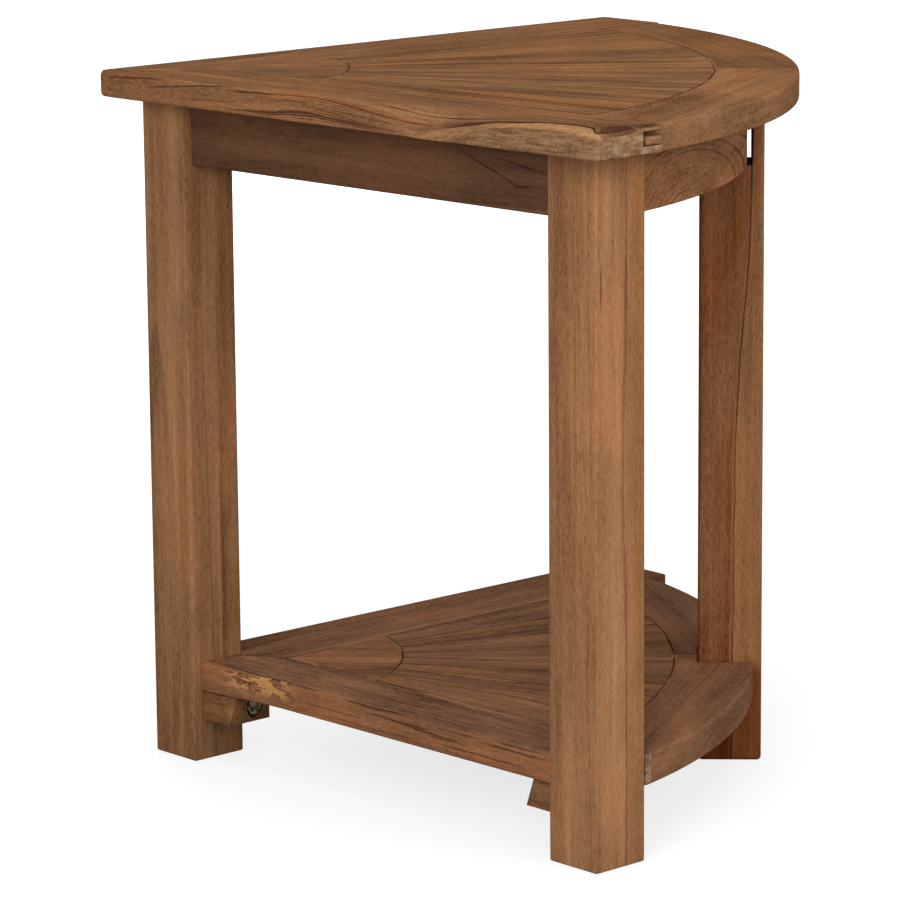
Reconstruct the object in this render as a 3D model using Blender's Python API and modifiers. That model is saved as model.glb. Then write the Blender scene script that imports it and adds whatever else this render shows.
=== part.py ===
"""A quarter-round side table in solid teak, in metres, +Z up, standing on the plane z = 0.

The top and the low shelf are two fans of boards: two straight rails that meet at the apex, a wedge
with a round end between them, tapered slats that spread from it, and a curved rim in two halves.
Four square legs carry them: one at the apex, one at each far corner and one under the middle of the
rim. The straight aprons are tenoned into the legs, the curved apron passes through an open slot in
the middle leg, and the shelf rests on cleats that are bolted to the legs.

The apex points to -X and the front is the side at -Y. The two sides mirror each other, apart from
the natural edge of the front rails and the shelf's fan, which lies nearer to the front.
"""

from math import atan2, cos, pi, radians, sin, sqrt

import bmesh
import bpy
from mathutils import Matrix, Vector

# Driving dimensions: the whole table
height = 0.550
top_thickness = 0.0205
top_radius = 0.547
half_angle = radians(44.0)

# Clearances: between glued boards and round a fitted joint. Cutters pass a surface by the overrun.
seam_gap = 0.0003
fit_gap = 0.0003
overrun = 0.010
weld_distance = 0.00002

# Top fan
top_rail_width = 0.0665
top_rim_width = 0.0655
top_hub_reach = 0.197
top_hub_end_radius = 0.173
nose_radius = 0.006
corner_radius = 0.004

# Shelf fan: its boards were laid out a little nearer to the front edge than the top's
shelf_height = 0.0805
shelf_thickness = 0.0235
shelf_edge_inset = 0.0385
shelf_rail_width = 0.0618
shelf_rim_set_back = 0.0335
shelf_rim_width = 0.0625
shelf_hub_reach = 0.235
shelf_hub_end_radius = 0.154
shelf_fan_shift = 0.0140
shelf_rail_set_back = 0.0335

# Slats and curves
slats_in_fan = 8
slat_arc_steps = 3
hub_arc_steps = 14
rim_arc_steps = 16
apron_arc_steps = 32
corner_arc_steps = 3
wane_steps = 4
round_steps = 16
hex_sides = 6
bevel_steps = 2

# Tongue on the end of each top rim half, in a roomy groove that is open at the rail's end
tongue_length = 0.0155
tongue_thickness = 0.0062
tongue_height = 0.0060
tongue_end_set_back = 0.0030
groove_head_room = 0.0046
groove_side_room = 0.0042
tongue_root = 0.006

# Legs
leg_side = 0.050
leg_edge_radius = 0.0022
apex_leg_reach = 0.0698
side_leg_inset = 0.0592
side_leg_end_margin = 0.0586
middle_leg_overhang = 0.0269

# Aprons
apron_height = 0.0505
apron_thickness = 0.020
apron_set_back_at_apex = 0.0085
apron_set_back_at_side = 0.0035
curved_apron_set_back = 0.040
tenon_thickness = 0.010
tenon_length = 0.022
tenon_shoulder = 0.008
tenon_root = 0.005

# Open slot of the middle leg
slot_outer_cheek = 0.0094
slot_extra_depth = 0.0015

# Cleats under the shelf, each held by a hexagon bolt and a washer in a counterbore
cleat_depth = 0.0325
cleat_length = 0.0415
cleat_height = 0.0230
cleat_set_back = 0.0085
cleat_corner = 0.009
bolt_radius = 0.004
bolt_in_leg = 0.022
bolt_from_leg_face = 0.0365
back_bolt_from_leg_face = 0.020
counterbore_radius = 0.010
counterbore_depth = 0.0105
washer_radius = 0.0085
washer_thickness = 0.0018
bolt_head_across_flats = 0.0130
bolt_head_thickness = 0.0058

# Wood screws: through the cleats into the shelf, and through the aprons into the top
screw_radius = 0.002
screw_head_radius = 0.004
screw_head_thickness = 0.0025
screw_head_face_share = 0.7
screw_head_edge_share = 0.4
screw_bite = 0.012
shelf_screw_from_leg = 0.0105
shelf_screw_from_leg_face = 0.024
back_shelf_screw_from_leg_face = 0.036
middle_shelf_screw_offset = 0.013
head_recess_radius = 0.0050
shelf_screw_recess = 0.0040
top_screw_recess = 0.0300
top_screw_shares = (0.22, 0.78)

# Natural edge of the front rails. Each row is: place along the rail, how far in the top surface
# starts to fall, as a share of the rail's width, and how much of the thickness is left at the edge.
top_wane_shares = (
    (0.00, 0.02, 0.97), (0.29, 0.02, 0.97), (0.38, 0.08, 0.89), (0.54, 0.12, 0.85),
    (0.615, 0.22, 0.64), (0.665, 0.32, 0.38), (0.685, 0.37, 0.10), (0.697, 0.34, 0.36),
    (0.755, 0.20, 0.78), (0.80, 0.06, 0.93), (0.865, 0.20, 0.87), (0.92, 0.21, 0.86),
    (0.957, 0.14, 0.88), (0.985, 0.06, 0.94), (1.00, 0.05, 0.95),
)
shelf_wane_shares = (
    (0.00, 0.06, 0.86), (0.16, 0.06, 0.86), (0.31, 0.04, 0.94), (0.48, 0.03, 0.95),
    (0.60, 0.16, 0.88), (0.72, 0.04, 0.95), (0.86, 0.10, 0.92), (1.00, 0.06, 0.94),
)

# Worn hollow across the end of the top's front rail. Each row is: place from the outer corner to
# the seam, how far in the hollow starts, as a share of the rail's width, and how much is left.
end_wane_shares = (
    (0.00, 0.02, 0.97), (0.15, 0.13, 0.74), (0.30, 0.17, 0.66), (0.48, 0.14, 0.74),
    (0.60, 0.08, 0.88), (0.70, 0.03, 0.96), (1.00, 0.02, 0.97),
)

# The shelf's front edge swells next to the apex leg. Each row is: place along the rail and swelling.
shelf_swell = 0.0080
swell_shares = ((0.00, 1.0), (0.145, 1.0), (0.31, 0.0), (1.00, 0.0))
swell_steps = 6

# Levels and plan places that follow from the sizes
top_underside = height - top_thickness
shelf_underside = shelf_height - shelf_thickness
leg_height = top_underside - fit_gap
apron_low = top_underside - fit_gap - apron_height
cleat_low = shelf_underside - fit_gap - cleat_height
bolt_level = cleat_low + cleat_height / 2
nose_tip = nose_radius / sin(half_angle) - nose_radius
apex_x = -(nose_tip + top_radius) / 2
arc_centre = Vector((0, 0))
apron_outer_radius = top_radius - curved_apron_set_back
apron_inner_radius = apron_outer_radius - apron_thickness
apex_leg = Vector((apex_leg_reach, 0))
middle_leg = Vector((top_radius - middle_leg_overhang - leg_side / 2, 0))
quarter_turn = pi / 2
diagonal_turn = pi / 4
sides = {"front": -1, "back": 1}

# Colours in linear light, roughness and metallic value
wood_top = ((0.235, 0.110, 0.052), 0.55, 0.0)
wood_shelf = ((0.190, 0.093, 0.048), 0.60, 0.0)
wood_leg = ((0.285, 0.134, 0.056), 0.55, 0.0)
wood_apron = ((0.150, 0.069, 0.032), 0.60, 0.0)
wood_cleat = ((0.150, 0.070, 0.030), 0.65, 0.0)
zinc_plate = ((0.420, 0.390, 0.300), 0.35, 1.0)


def clear_scene():
    """Remove every object that the file holds."""
    for item in list(bpy.data.objects):
        bpy.data.objects.remove(item, do_unlink=True)


def make_collection(name):
    """A new collection in the scene."""
    group = bpy.data.collections.new(name)
    bpy.context.scene.collection.children.link(group)
    return group


def make_material(name, look):
    """A Principled material of one colour."""
    colour, roughness, metallic = look
    material = bpy.data.materials.new(name)
    material.use_nodes = True
    shader = material.node_tree.nodes["Principled BSDF"]
    shader.inputs["Base Color"].default_value = (*colour, 1.0)
    shader.inputs["Roughness"].default_value = roughness
    shader.inputs["Metallic"].default_value = metallic
    return material


clear_scene()
table = make_collection("side_table")
cutters = make_collection("cutters")


def add_part(mesh, name, look, place=(0, 0, 0), turn=(0, 0, 0)):
    """Put a mesh into the table as a named sub-part. Copies of one piece share their mesh."""
    if not mesh.materials:
        mesh.name = name
        mesh.materials.append(make_material(name, look))
    part = bpy.data.objects.new(name, mesh)
    part.location = place
    part.rotation_euler = turn
    table.objects.link(part)
    return part


def add_cutter(mesh, name, place=(0, 0, 0), turn=(0, 0, 0)):
    """Put a mesh among the cutters, where it shapes a part and is not one itself."""
    cutter = bpy.data.objects.new(name, mesh)
    cutter.location = place
    cutter.rotation_euler = turn
    cutter.hide_render = True
    cutter.display_type = "WIRE"
    cutters.objects.link(cutter)
    return cutter


def shape(part, cutter, operation="DIFFERENCE"):
    """Cut a part with a cutter, or join the cutter's body to it."""
    modifier = part.modifiers.new(cutter.name, "BOOLEAN")
    modifier.operation = operation
    modifier.object = cutter
    modifier.solver = "EXACT"


def take_mesh(source):
    """The evaluated mesh of a temporary object, welded, with the object removed."""
    view = bpy.context.evaluated_depsgraph_get()
    mesh = bpy.data.meshes.new_from_object(source.evaluated_get(view))
    solid = bmesh.new()
    solid.from_mesh(mesh)
    bmesh.ops.remove_doubles(solid, verts=solid.verts, dist=weld_distance)
    solid.to_mesh(mesh)
    solid.free()
    bpy.data.objects.remove(source, do_unlink=True)
    return mesh


def plate_mesh(outline, thickness):
    """A flat outline, extruded evenly to both sides of its plane."""
    curve = bpy.data.curves.new("outline", "CURVE")
    curve.dimensions = "2D"
    curve.fill_mode = "BOTH"
    curve.extrude = thickness / 2
    line = curve.splines.new("POLY")
    line.points.add(len(outline) - 1)
    for point, corner in zip(line.points, outline):
        point.co = (corner.x, corner.y, 0, 1)
    line.use_cyclic_u = True
    outline_object = bpy.data.objects.new("outline", curve)
    bpy.context.scene.collection.objects.link(outline_object)
    return take_mesh(outline_object)


def box_mesh(size):
    """A box about its own centre."""
    solid = bmesh.new()
    bmesh.ops.create_cube(solid, size=1.0)
    bmesh.ops.scale(solid, vec=size, verts=solid.verts)
    mesh = bpy.data.meshes.new("box")
    solid.to_mesh(mesh)
    solid.free()
    return mesh


def rod_mesh(radius, low, high, steps=round_steps):
    """A round or many-sided rod along its own Z axis, between two levels."""
    solid = bmesh.new()
    bmesh.ops.create_cone(solid, cap_ends=True, segments=steps, radius1=radius, radius2=radius,
                          depth=high - low, matrix=Matrix.Translation((0, 0, (low + high) / 2)))
    mesh = bpy.data.meshes.new("rod")
    solid.to_mesh(mesh)
    solid.free()
    return mesh


def loft_mesh(sections):
    """A solid skin over closed sections that all have the same number of corners."""
    solid = bmesh.new()
    rings = [[solid.verts.new(corner) for corner in section] for section in sections]
    for low, high in zip(rings, rings[1:]):
        for index, corner in enumerate(low):
            after = (index + 1) % len(low)
            solid.faces.new((corner, low[after], high[after], high[index]))
    solid.faces.new(rings[0])
    solid.faces.new(rings[-1])
    bmesh.ops.triangulate(solid, faces=solid.faces)
    bmesh.ops.recalc_face_normals(solid, faces=solid.faces)
    mesh = bpy.data.meshes.new("loft")
    solid.to_mesh(mesh)
    solid.free()
    return mesh


def edge_direction(side):
    """Along a straight edge of the top, away from the apex."""
    return Vector((cos(half_angle), side * sin(half_angle)))


def edge_inward(side):
    """Square to a straight edge of the top, into the table."""
    return Vector((sin(half_angle), -side * cos(half_angle)))


def leg_axes(side):
    """The two horizontal directions of the diagonal legs: towards the side leg, and inwards."""
    along = Vector((cos(diagonal_turn), side * sin(diagonal_turn)))
    across = Vector((cos(diagonal_turn), -side * sin(diagonal_turn)))
    return along, across


def side_leg(side):
    """The plan place of a side leg's centre line."""
    reach = top_radius - side_leg_end_margin
    return edge_direction(side) * reach + edge_inward(side) * side_leg_inset


def crossing(first, first_run, second, second_run):
    """Where two lines meet in plan."""
    span = first_run.x * second_run.y - first_run.y * second_run.x
    offset = second - first
    return first + first_run * ((offset.x * second_run.y - offset.y * second_run.x) / span)


def reach_circle(point, run, centre, radius):
    """The far place where a line from a point meets a circle."""
    to_centre = centre - point
    along = to_centre.dot(run)
    off_line = to_centre.length_squared - along ** 2
    return point + run * (along + sqrt(radius ** 2 - off_line))


def arc(centre, start, end, steps):
    """Points of an arc about a centre, from one place to another, both included."""
    first = start - centre
    last = end - centre
    turn = first.angle_signed(last)
    return [centre + Matrix.Rotation(-turn * step / steps, 2) @ first for step in range(steps + 1)]


def eased(rows, place):
    """The values of a table at a place, eased so that no corner shows at a row."""
    for low, high in zip(rows, rows[1:]):
        if place <= high[0]:
            share = (place - low[0]) / (high[0] - low[0])
            blend = share * share * (3 - 2 * share)
            return [before + (after - before) * blend for before, after in zip(low[1:], high[1:])]
    return list(rows[-1][1:])


def places_between(rows, steps):
    """The places of a table's rows, with more places between them."""
    places = [low[0] + (high[0] - low[0]) * step / steps
              for low, high in zip(rows, rows[1:]) for step in range(steps)]
    return places + [rows[-1][0]]


class Fan:
    """The plan of one fan of boards: its circles, its lines and its levels."""

    def __init__(self, name, level, thickness, edge_inset, rail_width, outer_radius, rim_width,
                 rail_length, hub_reach, hub_end_radius, shift, swell, wane, end_wane, look):
        self.name = name
        self.thickness = thickness
        self.level = level + thickness / 2
        self.underside = level
        self.edge_inset = edge_inset
        self.rail_width = rail_width
        self.outer_radius = outer_radius
        self.inner_radius = outer_radius - rim_width
        self.rail_length = rail_length
        self.centre = Vector((0, -shift))
        self.hub_end_radius = hub_end_radius
        self.hub_centre = Vector((hub_reach - hub_end_radius, -shift))
        self.seam_inset = edge_inset + rail_width
        self.tip = Vector((self.seam_inset / sin(half_angle), -shift))
        self.apex = Vector((edge_inset / sin(half_angle), 0))
        self.swell = swell
        self.wane = wane
        self.end_wane = end_wane
        self.look = look

    def place(self):
        """Where the fan's outlines lie in the table."""
        return (apex_x, 0, self.level)

    def add_board(self, name, outline):
        """One board of the fan from its outline."""
        mesh = plate_mesh(outline, self.thickness)
        return add_part(mesh, f"{self.name}_{name}", self.look, self.place())

    def edge_point(self, side, place):
        """A place on a rail's outer edge, which swells on the front side only."""
        swell = self.swell * eased(swell_shares, place)[0] if side < 0 else 0
        inward = edge_inward(side)
        return edge_direction(side) * (self.rail_length * place) + inward * (self.edge_inset - swell)

    def seam_line(self, side, into_fan):
        """The edge between a rail and the fan, moved half a seam to one side of it."""
        shift = edge_inward(side) * (seam_gap / 2 * into_fan)
        return self.tip + shift, edge_direction(side)

    def mitre_line(self, side):
        """The joint between the two rails, moved half a seam to one side of it."""
        run = (self.tip - self.apex).normalized()
        off = Vector((-run.y, run.x)) * (side * seam_gap / 2)
        return self.apex + off, run

    def rail_outline(self, side, nose, corner):
        """A straight rail: outer edge, square end, inner edge and mitre at the apex."""
        run = edge_direction(side)
        inward = edge_inward(side)
        mitre, mitre_run = self.mitre_line(side)
        seam, _ = self.seam_line(side, -1)
        end = self.edge_point(side, 1)
        inner_end = crossing(seam, run, end, inward)
        inner_start = crossing(seam, run, mitre, mitre_run)
        if nose:
            centre = self.apex + Vector((nose / sin(half_angle), 0))
            on_mitre = reach_circle(mitre, -mitre_run, centre, nose)
            outer = arc(centre, on_mitre, centre - inward * nose, corner_arc_steps)
        else:
            outer = [crossing(self.edge_point(side, 0), run, mitre, mitre_run)]
        if self.swell and side < 0:
            outer += [self.edge_point(side, place)
                      for place in places_between(swell_shares[1:3], swell_steps)]
        if corner:
            centre = end + (inward - run) * corner
            outer += arc(centre, end - run * corner, end + inward * corner, corner_arc_steps)
        else:
            outer.append(end)
        return outer + [inner_end, inner_start]

    def hub_outline(self):
        """The wedge between the rails, with its round end."""
        front, front_run = self.seam_line(-1, 1)
        back, back_run = self.seam_line(1, 1)
        radius = self.hub_end_radius - seam_gap / 2
        start = reach_circle(front, front_run, self.hub_centre, radius)
        end = reach_circle(back, back_run, self.hub_centre, radius)
        point = crossing(front, front_run, back, back_run)
        return [point] + arc(self.hub_centre, start, end, hub_arc_steps)

    def slat_outline(self, index):
        """One tapered slat between the hub's round end and the rim."""
        step = 2 * half_angle / slats_in_fan
        low_angle = -half_angle + index * step
        corners = []
        for angle, side in ((low_angle, 1), (low_angle + step, -1)):
            run = Vector((cos(angle), sin(angle)))
            start = self.tip + Vector((-run.y, run.x)) * (side * seam_gap / 2)
            inner = reach_circle(start, run, self.hub_centre, self.hub_end_radius + seam_gap / 2)
            outer = reach_circle(start, run, self.centre, self.inner_radius - seam_gap / 2)
            corners.append((inner, outer))
        (low_inner, low_outer), (high_inner, high_outer) = corners
        outer_arc = arc(self.centre, low_outer, high_outer, slat_arc_steps)
        inner_arc = arc(self.hub_centre, high_inner, low_inner, slat_arc_steps)
        return outer_arc + inner_arc

    def rim_corners(self, side):
        """The four corners of a rim half: inner and outer at the rail, outer and inner at the middle."""
        seam, run = self.seam_line(side, 1)
        inner = self.inner_radius + seam_gap / 2
        middle = Vector((0, side * seam_gap / 2))
        forward = Vector((1, 0))
        return (reach_circle(seam, run, self.centre, inner),
                reach_circle(seam, run, self.centre, self.outer_radius),
                reach_circle(middle, forward, self.centre, self.outer_radius),
                reach_circle(middle, forward, self.centre, inner))

    def rim_outline(self, side):
        """Half of the curved rim, from the rail's inner edge to the butt joint at the middle."""
        inner_start, outer_start, outer_end, inner_end = self.rim_corners(side)
        outer = arc(self.centre, outer_start, outer_end, rim_arc_steps)
        inner = arc(self.centre, inner_end, inner_start, rim_arc_steps)
        return outer + inner


top_fan = Fan("top", top_underside, top_thickness, 0, top_rail_width, top_radius, top_rim_width,
              top_radius, top_hub_reach, top_hub_end_radius, 0, 0, top_wane_shares,
              end_wane_shares, wood_top)
shelf_fan = Fan("shelf", shelf_underside, shelf_thickness, shelf_edge_inset, shelf_rail_width,
                top_radius - shelf_rim_set_back, shelf_rim_width, top_radius - shelf_rail_set_back,
                shelf_hub_reach, shelf_hub_end_radius, shelf_fan_shift, shelf_swell,
                shelf_wane_shares, (), wood_shelf)


def plan(point, level):
    """A plan place, measured from the apex, as a place in the table."""
    return (apex_x + point.x, point.y, level)


def upright(run):
    """The turn that points a piece's +X along a plan direction."""
    return (0, 0, atan2(run.y, run.x))


def lying(run):
    """The turn that lays a piece down, with its +Z along a plan direction."""
    return (0, quarter_turn, atan2(run.y, run.x))


def cut_box(part, name, centre, run, size, level):
    """Cut a box out of a part; its first size lies along the plan direction."""
    shape(part, add_cutter(box_mesh(size), name, plan(centre, level), upright(run)))


def cut_level_hole(part, name, point, run, radius, start, end):
    """Cut a round hole that runs level along a plan direction, from one reach to another."""
    shape(part, add_cutter(rod_mesh(radius, start, end), name, plan(point, bolt_level), lying(run)))


def cut_upright_hole(part, name, point, radius, low, high):
    """Cut an upright round hole between two levels."""
    shape(part, add_cutter(rod_mesh(radius, low, high), name, plan(point, 0)))


def cut_wane(part, fan, word, shares, edge, run, inward):
    """Wear an upper edge of a rail away in the long hollows of a natural edge."""
    half = fan.thickness / 2
    sections = []
    for place in places_between(shares, wane_steps):
        set_back, left = eased(shares, place)
        start = edge(place) + run * (overrun * (2 * place - 1))
        fall = set_back * fan.rail_width
        drop = (1 - left) * fan.thickness
        above = overrun / drop
        profile = ((-overrun, half - drop), (0, half - drop), (fall * (1 + above), half + overrun),
                   (-overrun, half + overrun))
        sections.append([(*(start + inward * inset), rise) for inset, rise in profile])
    shape(part, add_cutter(loft_mesh(sections), f"{part.name}_{word}_wane", fan.place()))


def wear_rail(part, fan, side):
    """The natural front edge of a rail, and the hollow across its end if it has one."""
    run = edge_direction(side)
    inward = edge_inward(side)
    cut_wane(part, fan, "edge", fan.wane, lambda place: fan.edge_point(side, place), run, inward)
    if fan.end_wane:
        corner = fan.edge_point(side, 1)
        cut_wane(part, fan, "end", fan.end_wane,
                 lambda place: corner + inward * (place * fan.rail_width), inward, -run)


def make_fan(fan, nose, corner):
    """Every board of a fan, as a dictionary of its parts by name."""
    boards = {}
    for word, side in sides.items():
        rail = fan.add_board(f"{word}_rail", fan.rail_outline(side, nose, corner))
        if word == "front":
            wear_rail(rail, fan, side)
        boards[f"{word}_rail"] = rail
        boards[f"{word}_rim"] = fan.add_board(f"{word}_rim", fan.rim_outline(side))
    boards["hub"] = fan.add_board("hub", fan.hub_outline())
    for index in range(slats_in_fan):
        name = f"slat_{index + 1}"
        boards[name] = fan.add_board(name, fan.slat_outline(index))
    return boards


def join_rim_to_rail(fan, boards, word, side):
    """A tongue on the rim's end, in a groove that is open at the rail's end."""
    run = edge_direction(side)
    inward = edge_inward(side)
    inner, outer, _, _ = fan.rim_corners(side)
    start = inner.dot(run) + tongue_end_set_back
    seam = inward * fan.seam_inset
    tongue_span = outer.dot(run) - start - tongue_end_set_back
    tongue_middle = seam + run * (start + tongue_span / 2)
    tongue_middle += inward * ((tongue_root - tongue_length) / 2)
    tongue_size = (tongue_span, tongue_length + tongue_root, tongue_thickness)
    tongue_level = fan.underside + tongue_height + tongue_thickness / 2
    tongue = add_cutter(box_mesh(tongue_size), f"{fan.name}_{word}_tongue",
                        plan(tongue_middle, tongue_level), upright(run))
    shape(boards[f"{word}_rim"], tongue, "UNION")
    groove_start = start - fit_gap
    groove_span = fan.rail_length + overrun - groove_start
    groove_depth = tongue_length + groove_side_room
    groove_height = tongue_thickness + groove_head_room + fit_gap
    groove_middle = seam + run * (groove_start + groove_span / 2)
    groove_middle += inward * ((overrun - groove_depth) / 2)
    groove_level = fan.underside + tongue_height - fit_gap + groove_height / 2
    cut_box(boards[f"{word}_rail"], f"{fan.name}_{word}_groove", groove_middle, run,
            (groove_span, groove_depth + overrun, groove_height), groove_level)


def make_leg(name, centre, turn):
    """A square leg with softened edges."""
    mesh = box_mesh((leg_side, leg_side, leg_height))
    leg = add_part(mesh, name, wood_leg, plan(centre, leg_height / 2), (0, 0, turn))
    bevel = leg.modifiers.new("softened_edges", "BEVEL")
    bevel.width = leg_edge_radius
    bevel.segments = bevel_steps
    return leg


def make_legs():
    """The four legs by name."""
    legs = {"apex": make_leg("leg_apex", apex_leg, diagonal_turn),
            "middle": make_leg("leg_middle", middle_leg, 0)}
    for word, side in sides.items():
        legs[word] = make_leg(f"leg_{word}", side_leg(side), diagonal_turn)
    return legs


def fit_tenon(apron, leg, name, root, run):
    """A tenon on an apron's end, pointing along a direction, and its mortise in the leg."""
    height_of_tenon = apron_height - 2 * tenon_shoulder
    level = apron_low + apron_height / 2
    length = tenon_length + tenon_root
    middle = root + run * ((tenon_length - tenon_root) / 2)
    tenon = add_cutter(box_mesh((length, tenon_thickness, height_of_tenon)), f"{name}_tenon",
                       plan(middle, level), upright(run))
    shape(apron, tenon, "UNION")
    wider = 2 * fit_gap
    mortise = (length + wider, tenon_thickness + wider, height_of_tenon + wider)
    cut_box(leg, f"{name}_mortise", middle, run, mortise, level)


def straight_apron_plan(side):
    """The outer line of a straight apron: its start, its end and its inward direction."""
    along, across = leg_axes(side)
    face = leg_side / 2 + fit_gap
    start = apex_leg + along * face + across * (apron_set_back_at_apex - leg_side / 2)
    end = side_leg(side) - along * face + across * (apron_set_back_at_side - leg_side / 2)
    run = (end - start).normalized()
    inward = (across - run * across.dot(run)).normalized()
    return start, end, run, inward


def add_apron(name, outline):
    """An apron from its plan outline, standing just under the top."""
    level = apron_low + apron_height / 2
    return add_part(plate_mesh(outline, apron_height), name, wood_apron, (apex_x, 0, level))


def make_straight_apron(word, side, legs):
    """A straight apron between the apex leg and a side leg, tenoned into both."""
    start, end, run, inward = straight_apron_plan(side)
    _, across = leg_axes(side)
    inner = start + inward * apron_thickness
    inner_start = crossing(inner, run, start, across)
    inner_end = crossing(inner, run, end, across)
    apron = add_apron(f"apron_{word}", [start, end, inner_end, inner_start])
    fit_tenon(apron, legs["apex"], f"{word}_apex", (start + inner_start) / 2, -run)
    fit_tenon(apron, legs[word], f"{word}_side", (end + inner_end) / 2, run)
    return apron


def make_curved_apron(legs):
    """The curved apron, from one side leg to the other, tenoned into both."""
    outer = []
    inner = []
    for word, side in sides.items():
        along, across = leg_axes(side)
        face = side_leg(side) + across * (leg_side / 2 + fit_gap)
        outer.append(reach_circle(face, along, arc_centre, apron_outer_radius))
        inner.append(reach_circle(face, along, arc_centre, apron_inner_radius))
    outline = arc(arc_centre, outer[0], outer[1], apron_arc_steps)
    outline += arc(arc_centre, inner[1], inner[0], apron_arc_steps)
    apron = add_apron("apron_curved", outline)
    for index, (word, side) in enumerate(sides.items()):
        _, across = leg_axes(side)
        fit_tenon(apron, legs[word], f"{word}_curved", (outer[index] + inner[index]) / 2, -across)
    return apron


def cut_middle_slot(leg):
    """The open slot at the head of the middle leg, which the curved apron passes through."""
    inner_wall = sqrt(apron_inner_radius ** 2 - (leg_side / 2) ** 2) - fit_gap
    outer_wall = middle_leg.x + leg_side / 2 - slot_outer_cheek
    low = apron_low - fit_gap - slot_extra_depth
    high = leg_height + overrun
    size = (outer_wall - inner_wall, leg_side + overrun, high - low)
    middle = Vector(((outer_wall + inner_wall) / 2, 0))
    cut_box(leg, "middle_slot", middle, Vector((1, 0)), size, (low + high) / 2)


def notch_shelf(boards):
    """Cut the legs' places out of the shelf's rails and rim, open at the rails' ends."""
    side = leg_side + 2 * fit_gap
    depth = shelf_thickness + 2 * overrun
    for word, sign in sides.items():
        rail = boards[f"{word}_rail"]
        along, _ = leg_axes(sign)
        cut_box(rail, f"{word}_apex_notch", apex_leg, along, (side, side, depth), shelf_fan.level)
        cut_box(rail, f"{word}_side_notch", side_leg(sign) + along * (overrun / 2), along,
                (side + overrun, side, depth), shelf_fan.level)
        cut_box(boards[f"{word}_rim"], f"{word}_middle_notch", middle_leg, Vector((1, 0)),
                (side, side, depth), shelf_fan.level)


class CleatPlace:
    """Where one cleat sits: its leg, the direction it stands out and the direction along it."""

    def __init__(self, word, leg, centre, out, across, set_back, bolt, screw, shelf_board):
        self.word = word
        self.name = f"cleat_{word}"
        self.leg = leg
        self.out = out
        self.across = across
        self.face = centre + out * (leg_side / 2)
        corner = self.face - across * (leg_side / 2)
        self.middle = corner + out * (fit_gap + cleat_depth / 2) + across * (set_back + cleat_length / 2)
        self.bolt = corner + across * bolt
        self.screw = corner + out * shelf_screw_from_leg + across * screw
        self.shelf_board = shelf_board


def cleat_places():
    """The five cleats: two on the apex leg and one on each other leg."""
    places = []
    centred = (leg_side - cleat_length) / 2
    for word, side in sides.items():
        along, across = leg_axes(side)
        mirrored = word == "back"
        bolt = back_bolt_from_leg_face if mirrored else bolt_from_leg_face
        screw = back_shelf_screw_from_leg_face if mirrored else shelf_screw_from_leg_face
        places.append(CleatPlace(f"apex_{word}", "apex", apex_leg, along, across,
                                 cleat_set_back, bolt, screw, f"{word}_rail"))
        places.append(CleatPlace(word, word, side_leg(side), -along, across,
                                 cleat_set_back, bolt_from_leg_face, shelf_screw_from_leg_face,
                                 f"{word}_rail"))
    places.append(CleatPlace("middle", "middle", middle_leg, Vector((-1, 0)), Vector((0, 1)),
                             centred, leg_side / 2, leg_side / 2 + middle_shelf_screw_offset,
                             "back_rim"))
    return places


def cleat_mesh(handed):
    """A cleat's block, with its outer corner planed off from nothing at the foot to a wide flat."""
    solid = bmesh.new()
    bmesh.ops.create_cube(solid, size=1.0)
    bmesh.ops.scale(solid, vec=(cleat_depth, cleat_length, cleat_height), verts=solid.verts)
    corner = [edge for edge in solid.edges
              if all(vert.co.x > 0 and vert.co.y * handed < 0 for vert in edge.verts)]
    foot = min((vert.co for vert in corner[0].verts), key=lambda place: place.z).copy()
    planed = bmesh.ops.bevel(solid, geom=corner, offset=cleat_corner, segments=1, affect="EDGES")
    low = [vert for vert in planed["verts"] if vert.co.z < 0]
    bmesh.ops.pointmerge(solid, verts=low, merge_co=foot)
    mesh = bpy.data.meshes.new("cleat")
    solid.to_mesh(mesh)
    solid.free()
    return mesh


def make_cleat(place, leg, shelf_boards):
    """A cleat with its holes, the bolt's hole in the leg and the screw's hole in the shelf."""
    left = Vector((-place.out.y, place.out.x))
    handed = 1 if left.dot(place.across) > 0 else -1
    cleat = add_part(cleat_mesh(handed), place.name, wood_cleat, plan(place.middle, bolt_level),
                     upright(place.out))
    hole = bolt_radius + fit_gap
    mouth = fit_gap + cleat_depth
    cut_level_hole(cleat, f"{place.name}_bolt_hole", place.bolt, place.out, hole, -overrun,
                   mouth + overrun)
    cut_level_hole(cleat, f"{place.name}_counterbore", place.bolt, place.out, counterbore_radius,
                   mouth - counterbore_depth, mouth + overrun)
    cut_level_hole(leg, f"{place.name}_leg_hole", place.bolt, place.out, hole,
                   -bolt_in_leg - fit_gap, overrun)
    hole = screw_radius + fit_gap
    cut_upright_hole(cleat, f"{place.name}_screw_hole", place.screw, hole, cleat_low - overrun,
                     shelf_height)
    cut_upright_hole(cleat, f"{place.name}_screw_recess", place.screw, head_recess_radius,
                     cleat_low - overrun, cleat_low + shelf_screw_recess)
    cut_upright_hole(shelf_boards[place.shelf_board], f"{place.name}_shelf_hole", place.screw, hole,
                     shelf_underside - overrun, shelf_underside + screw_bite + fit_gap)


def washer_mesh():
    """A flat washer on its own base plane, with a bore for the bolt."""
    ring = add_cutter(rod_mesh(washer_radius, 0, washer_thickness), "washer_disc")
    bore = add_cutter(rod_mesh(bolt_radius + fit_gap, -overrun, overrun), "washer_bore")
    shape(ring, bore)
    mesh = take_mesh(ring)
    bpy.data.objects.remove(bore, do_unlink=True)
    return mesh


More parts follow.
